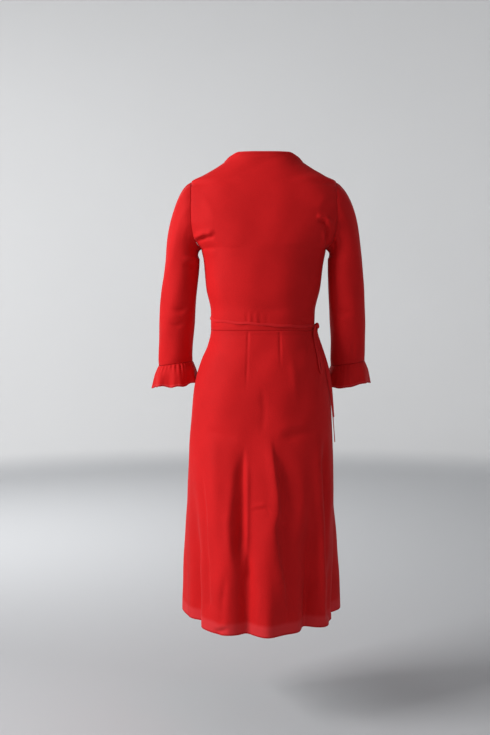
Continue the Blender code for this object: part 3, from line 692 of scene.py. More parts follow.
# ---------------------------------------------------------------- the bodice
@dataclass
class Bodice:
    """The back, the two crossed fronts, the strips that bind their edges, and the tape inside the neck."""

    form: WornForm
    rows: int = 146
    back_columns: int = 132
    front_columns: int = 92
    binding_half_width: float = 0.0024
    binding_half_wall: float = 0.0010
    back_creases: tuple[Crease, ...] = (
        Crease(((0.157, -0.178), (0.136, -0.1715), (0.112, -0.1695)), 0.0058, 0.0062, 0.35, 0.8),
        Crease(((0.154, -0.1865), (0.136, -0.1815), (0.113, -0.1795)), -0.0058, 0.0046, 0.35, 0.8),
        Crease(((0.150, -0.205), (0.128, -0.214), (0.104, -0.219)), 0.0018, 0.0090, 0.4, 0.6),
        Crease(
            ((-0.121, -0.1400), (-0.1405, -0.1465), (-0.1475, -0.166), (-0.1480, -0.202)),
            -0.0068, 0.0046, 0.28, 0.0, 0.5,
        ),
        Crease(((-0.118, -0.1310), (-0.1430, -0.1375), (-0.1580, -0.1500)), 0.0046, 0.0062, 0.32, 0.0, 0.8),
        Crease(((-0.139, -0.160), (-0.140, -0.182), (-0.136, -0.206)), 0.0030, 0.0060, 0.4),
        Crease(((0.0397, -0.350), (0.0390, -0.379)), -0.0009, 0.0030, 0.35, 0.0, 0.9),
        Crease(((0.0262, -0.354), (0.0255, -0.381)), -0.0008, 0.0028, 0.35, 0.0, 0.9),
        Crease(((0.0330, -0.350), (0.0325, -0.380)), 0.0006, 0.0034, 0.35, 0.0, 0.9),
        Crease(((0.0105, -0.350), (0.0095, -0.382)), -0.0009, 0.0030, 0.35, 0.0, 0.9),
        Crease(((-0.0063, -0.356), (-0.0070, -0.383)), -0.0006, 0.0028, 0.35, 0.0, 0.9),
        Crease(((0.0180, -0.352), (0.0175, -0.381)), 0.0005, 0.0036, 0.35, 0.0, 0.9),
        Crease(((-0.072, -0.3690), (-0.092, -0.3725), (-0.113, -0.3720)), -0.0016, 0.0022, 0.4),
        Crease(((-0.078, -0.3755), (-0.098, -0.3780), (-0.116, -0.3775)), -0.0013, 0.0020, 0.4),
        Crease(((0.070, -0.3835), (0.052, -0.3875), (0.034, -0.3905)), -0.0016, 0.0024, 0.4),
        Crease(((0.118, -0.240), (0.104, -0.300), (0.096, -0.360)), 0.0022, 0.0150, 0.45),
        Crease(((-0.120, -0.230), (-0.104, -0.300), (-0.094, -0.364)), 0.0020, 0.0150, 0.45),
        Crease(((0.070, -0.330), (0.030, -0.346), (-0.030, -0.350), (-0.078, -0.338)), -0.0012, 0.0110, 0.4),
        Crease(((0.150, -0.075), (0.128, -0.110), (0.112, -0.150)), 0.0014, 0.0110, 0.45),
        Crease(((-0.150, -0.078), (-0.130, -0.105), (-0.118, -0.126)), 0.0014, 0.0100, 0.45),
    )
    front_creases: tuple[Crease, ...] = (
        Crease(((0.154, -0.182), (0.134, -0.176), (0.112, -0.176)), 0.0036, 0.0060, 0.35, 0.8),
        Crease(((0.150, -0.192), (0.132, -0.187), (0.110, -0.187)), -0.0032, 0.0044, 0.35, 0.8),
        Crease(((0.112, -0.232), (0.072, -0.290), (0.010, -0.362)), -0.0026, 0.0085, 0.35),
        Crease(((0.118, -0.262), (0.080, -0.318), (0.020, -0.380)), 0.0024, 0.0095, 0.35),
        Crease(((0.096, -0.212), (0.050, -0.262), (-0.010, -0.330)), 0.0020, 0.0090, 0.40),
        Crease(((0.124, -0.318), (0.086, -0.350), (0.040, -0.392)), -0.0020, 0.0060, 0.35),
        Crease(((0.086, -0.350), (0.085, -0.394)), -0.0016, 0.0032, 0.35, 0.0, 0.9),
        Crease(((0.062, -0.346), (0.061, -0.394)), -0.0018, 0.0034, 0.35, 0.0, 0.9),
        Crease(((0.073, -0.350), (0.072, -0.394)), 0.0014, 0.0036, 0.35, 0.0, 0.9),
        Crease(((0.132, -0.080), (0.104, -0.124), (0.078, -0.162)), 0.0016, 0.0110, 0.45),
    )

    def build(self) -> None:
        """Make every piece of the bodice."""
        back = self.back_grid()
        tape = self.label()
        binding = self.back_binding(back)
        Sheet(
            "back_bodice_cloth", "back_bodice", back, CREPE, (0.440, 0.425), 0.150,
            rests_on=("sleeve_left_cloth", "sleeve_right_cloth"), from_seam=self.from_seams(back, True),
            extras=[binding, tape],
        ).build()
        for side, lift in ((Side.LEFT, self.form.wrap_lift), (Side.RIGHT, 0.0)):
            self.front(side, lift)

    def from_seams(self, grid: Array, both: bool) -> Array:
        """How far each point is from the panel's sewn edges."""
        along = walked(grid, 1)
        near = np.minimum(along, walked(grid, 0) + 0.0014)
        return np.minimum(near, along[:, -1:] - along) if both else near

    def back_grid(self) -> Array:
        """The back, waist to back neck, each row from the left side to the right."""
        heights = np.linspace(WAIST_HEIGHT, BACK_NECK_HEIGHT, self.rows)
        grid = self.form.bodice(heights, np.linspace(0, 1, self.back_columns), Side.LEFT, True)
        held = self.quiet_edges(grid)
        grid = grid + facing(grid) * (slack(grid, 0.0011, 0.7) * held)[:, :, None]
        return creased(grid, self.back_creases, grid[:, :, 0], grid[:, :, 2])

    def quiet_edges(self, grid: Array) -> Array:
        """A share that is 0 on the panel's edges and 1 well inside it."""
        along, up = walked(grid, 1), walked(grid, 0)
        near = np.minimum(np.minimum(along, along[:, -1:] - along), np.minimum(up, up[-1:] - up))
        return eased(near / 0.03)

    def front(self, side: Side, lift: float) -> None:
        """Make one front and its binding."""
        heights = np.linspace(WAIST_HEIGHT, NECK_POINT_HEIGHT, self.rows)
        grid = self.form.bodice(heights, np.linspace(0, 1, self.front_columns), side, False)
        amount = lift * eased((-0.05 - heights) / 0.12)
        amount = np.where(heights < UNDERARM_HEIGHT, lift, amount)
        grid = self.form.lifted(grid, amount)
        across, height = grid[:, :, 0] * side.value, grid[:, :, 2]
        grid = grid[:, ::-1] if side is Side.LEFT else grid
        across = across[:, ::-1] if side is Side.LEFT else across
        push = slack(grid, 0.0008, 1.9 + side.value) * self.quiet_edges(grid)
        grid = grid + facing(grid) * push[:, :, None]
        under = 1.0 if side is Side.LEFT else 0.6
        creases = tuple(
            Crease(c.path, c.rise * under, c.half_width, c.fade, c.first_end, c.last_end)
            for c in self.front_creases
        )
        grid = creased(grid, creases, across, grid[:, :, 2])
        turned = grid[:, ::-1] if side is Side.LEFT else grid
        seams = self.from_seams(turned, False)
        seams = seams[:, ::-1] if side is Side.LEFT else seams
        column = 0 if side is Side.LEFT else -1
        out = facing(grid)
        edge, way = grid[:-3, column], out[:-3, column]
        inner = grid[:-3, 1 if side is Side.LEFT else -2] - edge
        inner /= np.linalg.norm(inner, axis=1, keepdims=True)
        binding = Strip(
            f"neck_binding_{side.word}_cloth", f"neck_binding_{side.word}",
            edge + way * 0.0004 + inner * 0.0016, way, self.binding_half_width, self.binding_half_wall, TRIM,
        ).build()
        Sheet(
            f"front_bodice_{side.word}_cloth", f"front_bodice_{side.word}",
            grid, CREPE, (0.330, 0.420), 0.085,
            rests_on=("back_bodice_cloth",), from_seam=seams, extras=[binding],
        ).build()

    def back_binding(self, grid: Array) -> bpy.types.Object:
        """Bind the back neck from neck point to neck point."""
        first = int(np.searchsorted(grid[:, 0, 2], NECK_POINT_HEIGHT))
        line = np.concatenate([grid[first:-1, 0], grid[-1], grid[first:-1, -1][::-1]])
        way = facing(grid)
        out = np.concatenate([way[first:-1, 0], way[-1], way[first:-1, -1][::-1]])
        middle = line.mean(axis=0) + np.array([0.0, 0.0, -0.05])
        inner = middle - line
        inner -= out * (inner * out).sum(axis=1, keepdims=True)
        inner /= np.linalg.norm(inner, axis=1, keepdims=True)
        line, out = line + out * 0.0004 + inner * 0.0014, out.copy()
        for _ in range(6):
            line[1:-1] = (line[:-2] + 2 * line[1:-1] + line[2:]) / 4
        return Strip(
            "neck_binding_back_cloth", "neck_binding_back", line, out,
            self.binding_half_width, self.binding_half_wall, TRIM,
        ).build()

    def label(self) -> bpy.types.Object:
        """Make the blank tape inside the back neck."""
        reach = np.linspace(0.034, -0.026, 24)
        deep = 0.0590 * (1.0 - (np.abs(reach) / 0.11) ** ROUNDNESS) ** (1.0 / ROUNDNESS) - 0.0034
        line = np.stack([reach, deep, np.full_like(reach, -0.0020)], axis=1)
        out = np.stack([reach * 0.8, np.ones_like(reach), np.zeros_like(reach)], axis=1)
        out /= np.linalg.norm(out, axis=1, keepdims=True)
        return Strip("neck_label_cloth", "neck_label", line, out, 0.0054, 0.0004, TAPE).build()


# ---------------------------------------------------------------- sleeves and ruffles
@dataclass
class Sleeve:
    """One three-quarter sleeve with its gathered ruffle."""

    form: WornForm
    side: Side
    # height, middle on the left and on the right, how far forward, half width, half depth
    levels: tuple = (
        (-0.480, 0.2145, 0.2075, 0.052, 0.0415, 0.0425), (-0.435, 0.2125, 0.2060, 0.037, 0.0415, 0.0430),
        (-0.370, 0.2080, 0.2025, 0.019, 0.0430, 0.0435), (-0.310, 0.2025, 0.1985, 0.009, 0.0430, 0.0445),
        (-0.262, 0.1975, 0.1955, 0.004, 0.0420, 0.0450), (-0.228, 0.1945, 0.1945, 0.002, 0.0405, 0.0460),
    )
    columns: int = 104
    arm_rows: int = 96
    cap_rows: int = 52
    ruffle_columns: int = 340
    ruffle_rows: int = 22
    ruffle_depth: float = 0.054

    def tilt(self) -> float:
        """How much higher the outer side of the cuff seam lies."""
        return -0.0060 if self.side is Side.LEFT else 0.0065

    def ring(self, height: Array, turns: Array) -> Array:
        """Points of the sleeve, as if on the left, at a height and a turn from its outer side to the back."""
        column = 1 if self.side is Side.LEFT else 2
        middle = read_smoothly(self.levels, column, height)
        forward, wide, deep = (read_smoothly(self.levels, c, height) for c in (3, 4, 5))
        turn = np.radians(turns)
        low = eased((-0.435 - height) / 0.045)
        x = middle + wide * np.cos(turn)
        y = -forward + deep * np.sin(turn)
        z = height + self.tilt() * np.cos(turn) * low
        return np.stack(np.broadcast_arrays(x, y, z), axis=-1)

    def creases(self) -> tuple[Crease, ...]:
        """The sleeve's creases, by metres round it from its outer side over the back, and by height."""
        if self.side is Side.LEFT:
            return (
                Crease(((0.118, -0.236), (0.094, -0.228), (0.070, -0.232)), 0.0028, 0.0060, 0.4),
                Crease(((0.120, -0.250), (0.096, -0.243), (0.070, -0.248)), -0.0026, 0.0055, 0.4),
                Crease(((0.104, -0.338), (0.078, -0.349), (0.050, -0.345)), -0.0024, 0.0060, 0.4),
                Crease(((0.110, -0.352), (0.080, -0.363), (0.046, -0.360)), 0.0022, 0.0070, 0.4),
                Crease(((0.098, -0.378), (0.070, -0.386), (0.044, -0.380)), -0.0018, 0.0055, 0.4),
                Crease(((0.040, -0.110), (0.042, -0.190), (0.036, -0.300)), 0.0016, 0.0120, 0.4),
                Crease(((0.150, -0.330), (0.170, -0.350), (0.196, -0.346)), -0.0024, 0.0060, 0.4),
                Crease(((0.146, -0.346), (0.170, -0.368), (0.200, -0.362)), 0.0022, 0.0070, 0.4),
                Crease(((0.205, -0.150), (0.215, -0.230), (0.208, -0.310)), -0.0016, 0.0100, 0.4),
            )
        return (
            Crease(((0.104, -0.140), (0.102, -0.175), (0.106, -0.215)), -0.0030, 0.0042, 0.35),
            Crease(((0.094, -0.150), (0.092, -0.185), (0.094, -0.230)), 0.0022, 0.0060, 0.35),
            Crease(((0.106, -0.345), (0.080, -0.357), (0.050, -0.352)), -0.0020, 0.0062, 0.4),
            Crease(((0.108, -0.362), (0.080, -0.373), (0.050, -0.370)), 0.0018, 0.0070, 0.4),
            Crease(((0.038, -0.120), (0.034, -0.200), (0.040, -0.310)), 0.0014, 0.0120, 0.4),
            Crease(((0.150, -0.326), (0.172, -0.346), (0.196, -0.340)), -0.0022, 0.0060, 0.4),
            Crease(((0.146, -0.344), (0.172, -0.364), (0.200, -0.356)), 0.0020, 0.0070, 0.4),
            Crease(((0.052, -0.410), (0.058, -0.440), (0.056, -0.474)), -0.0012, 0.0050, 0.4),
        )

    def grid(self) -> Array:
        """The sleeve from the cuff seam to the armhole, as if on the left."""
        turns = np.linspace(0.0, 360.0, self.columns, endpoint=False)
        heights = np.linspace(-0.480, -0.228, self.arm_rows)
        arm = self.ring(heights[:, None], turns[None, :])
        start, end = self.form.armhole(turns), arm[-1]
        reach = np.linalg.norm(end - start, axis=1, keepdims=True)
        leave = start + np.array([0.86, 0.0, -0.30]) * reach * 0.21
        arrive = end + np.array([0.0, 0.0, 0.50]) * reach
        arrive[:, 0] += 0.2 * (self.levels[-1][1] - end[:, 0])
        t = np.linspace(1.0, 0.0, self.cap_rows + 1)[1:, None, None]
        cap = start * (1 - t) ** 3 + leave * 3 * t * (1 - t) ** 2 + arrive * 3 * t * t * (1 - t) + end * t**3
        grid = np.concatenate([arm, cap])
        up = walked(grid, 0)
        free = eased(up / 0.02) * eased((up[-1:] - up) / 0.02)
        wave = np.sin(np.radians(turns) * 3 + 26 * up + self.side.value) * np.sin(17 * up + 0.8)
        push = 0.0011 * wave + 0.0005 * np.sin(np.radians(turns) * 5 - 34 * up)
        eases = np.cos(np.radians(turns) * 20 + 0.6) * np.exp(-((up[-1:] - up) / 0.009))
        upper = eased((grid[:, :, 2] + 0.125) / 0.05)
        grid = grid + facing(grid, True) * (push * free + 0.0006 * eases * upper)[:, :, None]
        round_it = np.broadcast_to(np.radians(turns) * 0.043, grid.shape[:2])
        return creased(grid, self.creases(), round_it, grid[:, :, 2], True)

    def ruffle(self) -> Array:
        """The ruffle from its waving lower edge up to the cuff seam, as if on the left."""
        turns = np.linspace(0.0, 360.0, self.ruffle_columns, endpoint=False)
        turn = np.radians(turns)
        share = np.linspace(1.0, 0.0, self.ruffle_rows)[:, None]
        top = self.ring(np.array([[-0.480]]), turns[None, :])
        left = self.side is Side.LEFT
        flare = read_smoothly(((0.0, 0.0), (0.45, 0.0095), (1.0, 0.0140)), 1, share)
        waves = np.cos(7 * turn + 0.6) + 0.45 * np.cos(5 * turn + 2.0)
        small = 0.34 * np.cos(12 * turn + 1.1 + 0.9 * np.sin(2 * turn)) + 0.20 * np.cos(19 * turn + 2.4)
        out = flare + (waves + small * share) * share * (0.0038 if left else 0.0024)
        phase = 29 * turn + 1.6 * np.sin(3 * turn) + 1.1 * np.sin(5 * turn + 1.0)
        uneven = 0.55 + 0.45 * np.cos(4 * turn + 0.8) * np.cos(7 * turn + 2.0)
        gather = (0.0019 if left else 0.0006) * np.cos(phase) * uneven
        reach = 0.30 + 0.16 * np.cos(6 * turn + 1.4)
        out = out + gather * eased(share / 0.08) * np.exp(-((share / reach) ** 2))
        middle = self.levels[0][1 if left else 2]
        away = top - np.array([middle, -self.levels[0][3], 0.0])
        away[:, :, 2] = 0.0
        away /= np.linalg.norm(away, axis=2, keepdims=True)
        scallop = 0.0016 * np.cos(9 * turn + 0.4) * (1.0 if left else 0.4)
        drop = share * (self.ruffle_depth + 0.0025 * np.cos(3 * turn + 1.0) + scallop - 0.0012)
        fall = np.stack([np.zeros_like(drop), -0.006 * share + np.zeros_like(drop), -drop], axis=-1)
        return top + away * out[:, :, None] + fall

    def build(self) -> None:
        """Make the sleeve and its ruffle."""
        arm = self.grid()
        edge = self.ruffle()
        frill = rolled(edge, 0.0009, 7, True)
        up = walked(edge, 0)
        from_hem = np.concatenate([np.zeros((7, edge.shape[1])), up])
        from_seam = np.concatenate([np.ones((7, edge.shape[1])), up[-1:] - up])
        seam = np.minimum(walked(arm, 0), walked(arm, 0)[-1:] - walked(arm, 0))
        if self.side is Side.RIGHT:
            arm, frill, seam = flipped(arm), flipped(frill), seam[:, ::-1]
            from_hem, from_seam = from_hem[:, ::-1], from_seam[:, ::-1]
        word = self.side.word
        Sheet(
            f"sleeve_{word}_cloth", f"sleeve_{word}", arm, CREPE, (0.370, 0.480), 0.120,
            rests_on=("back_bodice_cloth",), from_seam=seam, wrapped=True,
        ).build()
        Sheet(
            f"cuff_ruffle_{word}_cloth", f"cuff_ruffle_{word}", frill, CREPE, (0.340, 0.062), 0.0205,
            held=Held.GATHERED, rests_on=(f"sleeve_{word}_cloth",),
            from_hem=self.no_band(from_hem), from_seam=from_seam, wrapped=True, wall=0.0005,
        ).build()

    def no_band(self, from_hem: Array) -> Array:
        """The distance from the edge, with the hem's band of painted light from behind left out."""
        return np.where(from_hem > 0.006, 1.0, from_hem)


# ---------------------------------------------------------------- the skirt and its lining
@dataclass
class Skirt:
    """The flared back, the over front (left), the under front (right), and the lining behind each."""

    form: WornForm
    back_columns: int = 168
    front_columns: int = 140
    rows: int = 176
    lining_rows: int = 110
    lining_depth: float = 0.0044
    lining_shorter: float = 0.028
    hem_roll: float = 0.0011
    seam_hold: float = 0.014
    back_creases: tuple[Crease, ...] = (
        Crease(((0.0374, -0.402), (0.0395, -0.470), (0.0425, -0.540)), -0.0012, 0.0028, 0.45, 1.0),
        Crease(((-0.0363, -0.402), (-0.0365, -0.440), (-0.0375, -0.487)), -0.0012, 0.0028, 0.45, 1.0),
        Crease(((-0.103, -0.404), (-0.1035, -0.462)), -0.0009, 0.0030, 0.45),
        Crease(((0.066, -0.3990), (0.050, -0.4040), (0.030, -0.4065)), -0.0010, 0.0030, 0.45),
        Crease(
            ((0.0480, -0.655), (0.0500, -0.740), (0.0500, -0.860), (0.0540, -0.955)),
            -0.0125, 0.0135, 0.28, lean=0.60,
        ),
        Crease(
            ((0.0480, -0.650), (0.0690, -0.720), (0.0830, -0.840), (0.0760, -0.920), (0.0660, -0.985)),
            0.0034, 0.0110, 0.30,
        ),
        Crease(
            ((0.0390, -0.690), (0.0385, -0.780), (0.0385, -0.870), (0.0400, -0.950)),
            0.0030, 0.0060, 0.30,
        ),
        Crease(((-0.0100, -0.628), (-0.0220, -0.703), (-0.0305, -0.765), (-0.0310, -0.812), (-0.0225, -0.845),
                (-0.0285, -0.906), (-0.0420, -0.985), (-0.0470, -1.050)),
               0.0062, 0.0100, 0.22, 0.0, 0.3, lean=0.50),
        Crease(((-0.0260, -0.650), (-0.0400, -0.730), (-0.0480, -0.800), (-0.0420, -0.850), (-0.0480, -0.920),
                (-0.0600, -1.000)), -0.0062, 0.0200, 0.25, 0.0, 0.3, lean=-0.55),
        Crease(((0.0400, -0.8125), (0.0130, -0.8040), (-0.0180, -0.8010)), -0.0013, 0.0046, 0.40),
        Crease(((0.0360, -0.8040), (0.0130, -0.7960), (-0.0100, -0.7930)), 0.0016, 0.0050, 0.35),
        Crease(((-0.0020, -0.8010), (-0.0180, -0.8150)), -0.0013, 0.0036, 0.4),
        Crease(((-0.0430, -0.8360), (-0.0560, -0.8540)), -0.0026, 0.0038, 0.4),
        Crease(((0.0365, -0.905), (0.0360, -0.945), (0.0385, -0.985)), -0.0036, 0.0044, 0.4),
        Crease(((0.1180, -0.600), (0.1150, -0.760), (0.1120, -0.940)), 0.0048, 0.0170, 0.35),
        Crease(
            ((0.1480, -0.700), (0.1400, -0.820), (0.1330, -0.930), (0.1300, -1.030)),
            -0.0055, 0.0090, 0.35, 0.0, 0.6, lean=0.5,
        ),
        Crease(
            ((-0.1270, -0.615), (-0.1330, -0.760), (-0.1400, -0.930), (-0.1440, -1.070)),
            0.0045, 0.0100, 0.25, 0.0, 0.6, lean=0.3,
        ),
        Crease(
            ((-0.1410, -0.630), (-0.1460, -0.780), (-0.1530, -0.930), (-0.1570, -1.075)),
            -0.0100, 0.0075, 0.25, 0.0, 0.8,
        ),
        Crease(((0.1220, -1.0980), (0.1030, -1.0890), (0.0800, -1.0780)), -0.0050, 0.0060, 0.35),
        Crease(((0.1160, -1.0860), (0.0980, -1.0770), (0.0780, -1.0680)), 0.0026, 0.0070, 0.35),
        Crease(
            ((-0.0300, -0.6420), (-0.0700, -0.6380), (-0.1150, -0.6300), (-0.1350, -0.6280)),
            -0.0026, 0.0110, 0.35,
        ),
        Crease(((-0.0200, -0.6200), (-0.0700, -0.6160), (-0.1180, -0.6080)), 0.0016, 0.0120, 0.35),
        Crease(((0.1450, -0.6300), (0.1000, -0.6340), (0.0560, -0.6460)), -0.0020, 0.0110, 0.35),
        Crease(((-0.0850, -0.690), (-0.0920, -0.790), (-0.0900, -0.900)), 0.0022, 0.0130, 0.35),
        Crease(((0.0200, -0.900), (0.0120, -1.000), (0.0180, -1.075)), 0.0032, 0.0120, 0.35, 0.0, 0.5),
        Crease(((0.0880, -0.940), (0.0980, -1.020), (0.1000, -1.080)), -0.0034, 0.0090, 0.35, 0.0, 0.5),
        Crease(((0.0060, -0.520), (0.0000, -0.580), (0.0060, -0.640)), -0.0014, 0.0080, 0.4),
        Crease(((-0.0560, -0.430), (-0.0700, -0.500), (-0.0760, -0.580)), 0.0014, 0.0100, 0.4),
    )
    front_creases: tuple[Crease, ...] = (
        Crease(((0.060, -0.402), (0.063, -0.450), (0.066, -0.500)), -0.0012, 0.0028, 0.45, 1.0),
        Crease(((-0.060, -0.402), (-0.063, -0.450), (-0.066, -0.500)), -0.0012, 0.0028, 0.45, 1.0),
        Crease(((-0.080, -0.404), (-0.040, -0.440), (0.020, -0.500)), -0.0024, 0.0070, 0.35, 0.8),
        Crease(((-0.082, -0.420), (-0.050, -0.468), (0.006, -0.560)), 0.0026, 0.0090, 0.35, 0.8),
        Crease(((-0.084, -0.436), (-0.064, -0.520), (-0.040, -0.640)), -0.0030, 0.0090, 0.35, 0.8),
        Crease(((0.050, -0.620), (0.058, -0.760), (0.050, -0.920)), -0.0070, 0.0130, 0.30),
        Crease(((0.026, -0.600), (0.030, -0.760), (0.028, -0.960)), 0.0050, 0.0130, 0.30),
        Crease(((-0.018, -0.640), (-0.026, -0.780), (-0.020, -0.930)), -0.0052, 0.0110, 0.30),
        Crease(((0.112, -0.600), (0.116, -0.760), (0.112, -0.960)), -0.0050, 0.0140, 0.30),
        Crease(((-0.070, -0.700), (-0.074, -0.850), (-0.068, -1.000)), 0.0044, 0.0120, 0.30),
    )

    def build(self) -> None:
        """Make the skirt's panels and their lining."""
        self.panels("skirt", CREPE)
        self.panels("lining", LINING)

    def heights(self, lining: bool) -> Array:
        """The rows' heights from the hem up."""
        if lining:
            return np.linspace(HEM_HEIGHT + self.lining_shorter, WAIST_HEIGHT - 0.0025, self.lining_rows)
        return np.linspace(HEM_HEIGHT + self.hem_roll, WAIST_HEIGHT, self.rows)

    def front_bearings(self, side: Side, heights: Array, columns: int) -> Array:
        """The bearings of a front's columns, from its side seam to its wrap edge."""
        reach = self.form.wrap_reach(np.minimum(heights, WAIST_HEIGHT))
        across = read_smoothly(self.form.levels, 2 if side is Side.LEFT else 1, heights)
        deep = read_smoothly(self.form.levels, 4, heights)
        before = deep * (1.0 - np.abs(reach / across) ** ROUNDNESS) ** (1.0 / ROUNDNESS)
        span = np.degrees(np.arctan2(before, reach))
        steps = span[:, None] * np.linspace(0, 1, columns)[None, :]
        return -steps if side is Side.LEFT else 180.0 + steps

    def shaped(self, grid: Array, creases: tuple[Crease, ...], seed: float, across: Array) -> Array:
        """A panel with its slack and creases, still at its waist and its sides."""
        along, up = walked(grid, 1), walked(grid, 0)
        near = np.minimum(np.minimum(along, along[:, -1:] - along), up[-1:] - up)
        grid = grid + facing(grid) * (slack(grid, 0.0016, seed) * eased(near / 0.05))[:, :, None]
        pressed = creased(grid, creases, across, grid[:, :, 2])
        held = eased(np.minimum(along, along[:, -1:] - along) / self.seam_hold)
        return grid + (pressed - grid) * held[:, :, None]

    def panels(self, word: str, finish: ClothFinish) -> None:
        """Make the three panels of the skirt or of its lining."""
        lining = finish is LINING
        heights = self.heights(lining)
        out = -self.lining_depth if lining else 0.0
        back_columns = 130 if lining else self.back_columns
        front_columns = 110 if lining else self.front_columns
        bearings = np.linspace(0.0, 180.0, back_columns)[None, :]
        back = self.form.below(bearings, heights[:, None], out)
        across = self.form.below(bearings, heights[:, None], 0.0)[:, :, 0]
        back = self.shaped(back, self.back_creases, 2.3, across)
        self.hang(f"{word}_back", back, finish, (0.600, 0.720), 0.330, ("back_bodice_cloth",))
        for side in Side:
            lift = self.form.wrap_lift if side is Side.LEFT else 0.0
            bearings = self.front_bearings(side, heights, front_columns)
            grid = self.form.below(bearings, heights[:, None], out)
            grid = self.form.lifted(grid, np.full(len(heights), lift))
            across = self.form.below(bearings, heights[:, None], 0.0)[:, :, 0]
            grid, across = (grid[:, ::-1], across[:, ::-1]) if side is Side.LEFT else (grid, across)
            grid = self.shaped(grid, self.front_creases, 4.1, across)
            self.hang(
                f"{word}_front_{side.word}", grid, finish, (0.560, 0.720), 0.300,
                (f"front_bodice_{side.word}_cloth",),
            )
        LOG.info("%s panels hung", word)

    def hang(
        self, node: str, grid: Array, finish: ClothFinish, flat: tuple, area: float, rests_on: tuple,
    ) -> None:
        """Roll a panel's hem and make it."""
        up = walked(grid, 0)
        along = walked(grid, 1)
        sides = np.minimum(along, along[:, -1:] - along)
        from_seam = np.minimum(sides, up[-1:] - up + 0.0014)
        grid = rolled(grid, self.hem_roll if finish is CREPE else 0.0008, 7)
        roll = np.zeros((7, grid.shape[1]))
        from_hem = np.concatenate([roll, up])
        if finish is LINING:
            # the lining's hem gets no band of painted light from behind
            from_hem = np.where(from_hem > 0.006, 1.0, from_hem)
            area, flat = area * 0.93, (flat[0], flat[1] - self.lining_shorter)
        Sheet(
            f"{node}_cloth", node, grid, finish, flat, area, rests_on=rests_on,
            from_hem=from_hem, from_seam=np.concatenate([roll + 1.0, from_seam]), wall=0.0005,
        ).build()


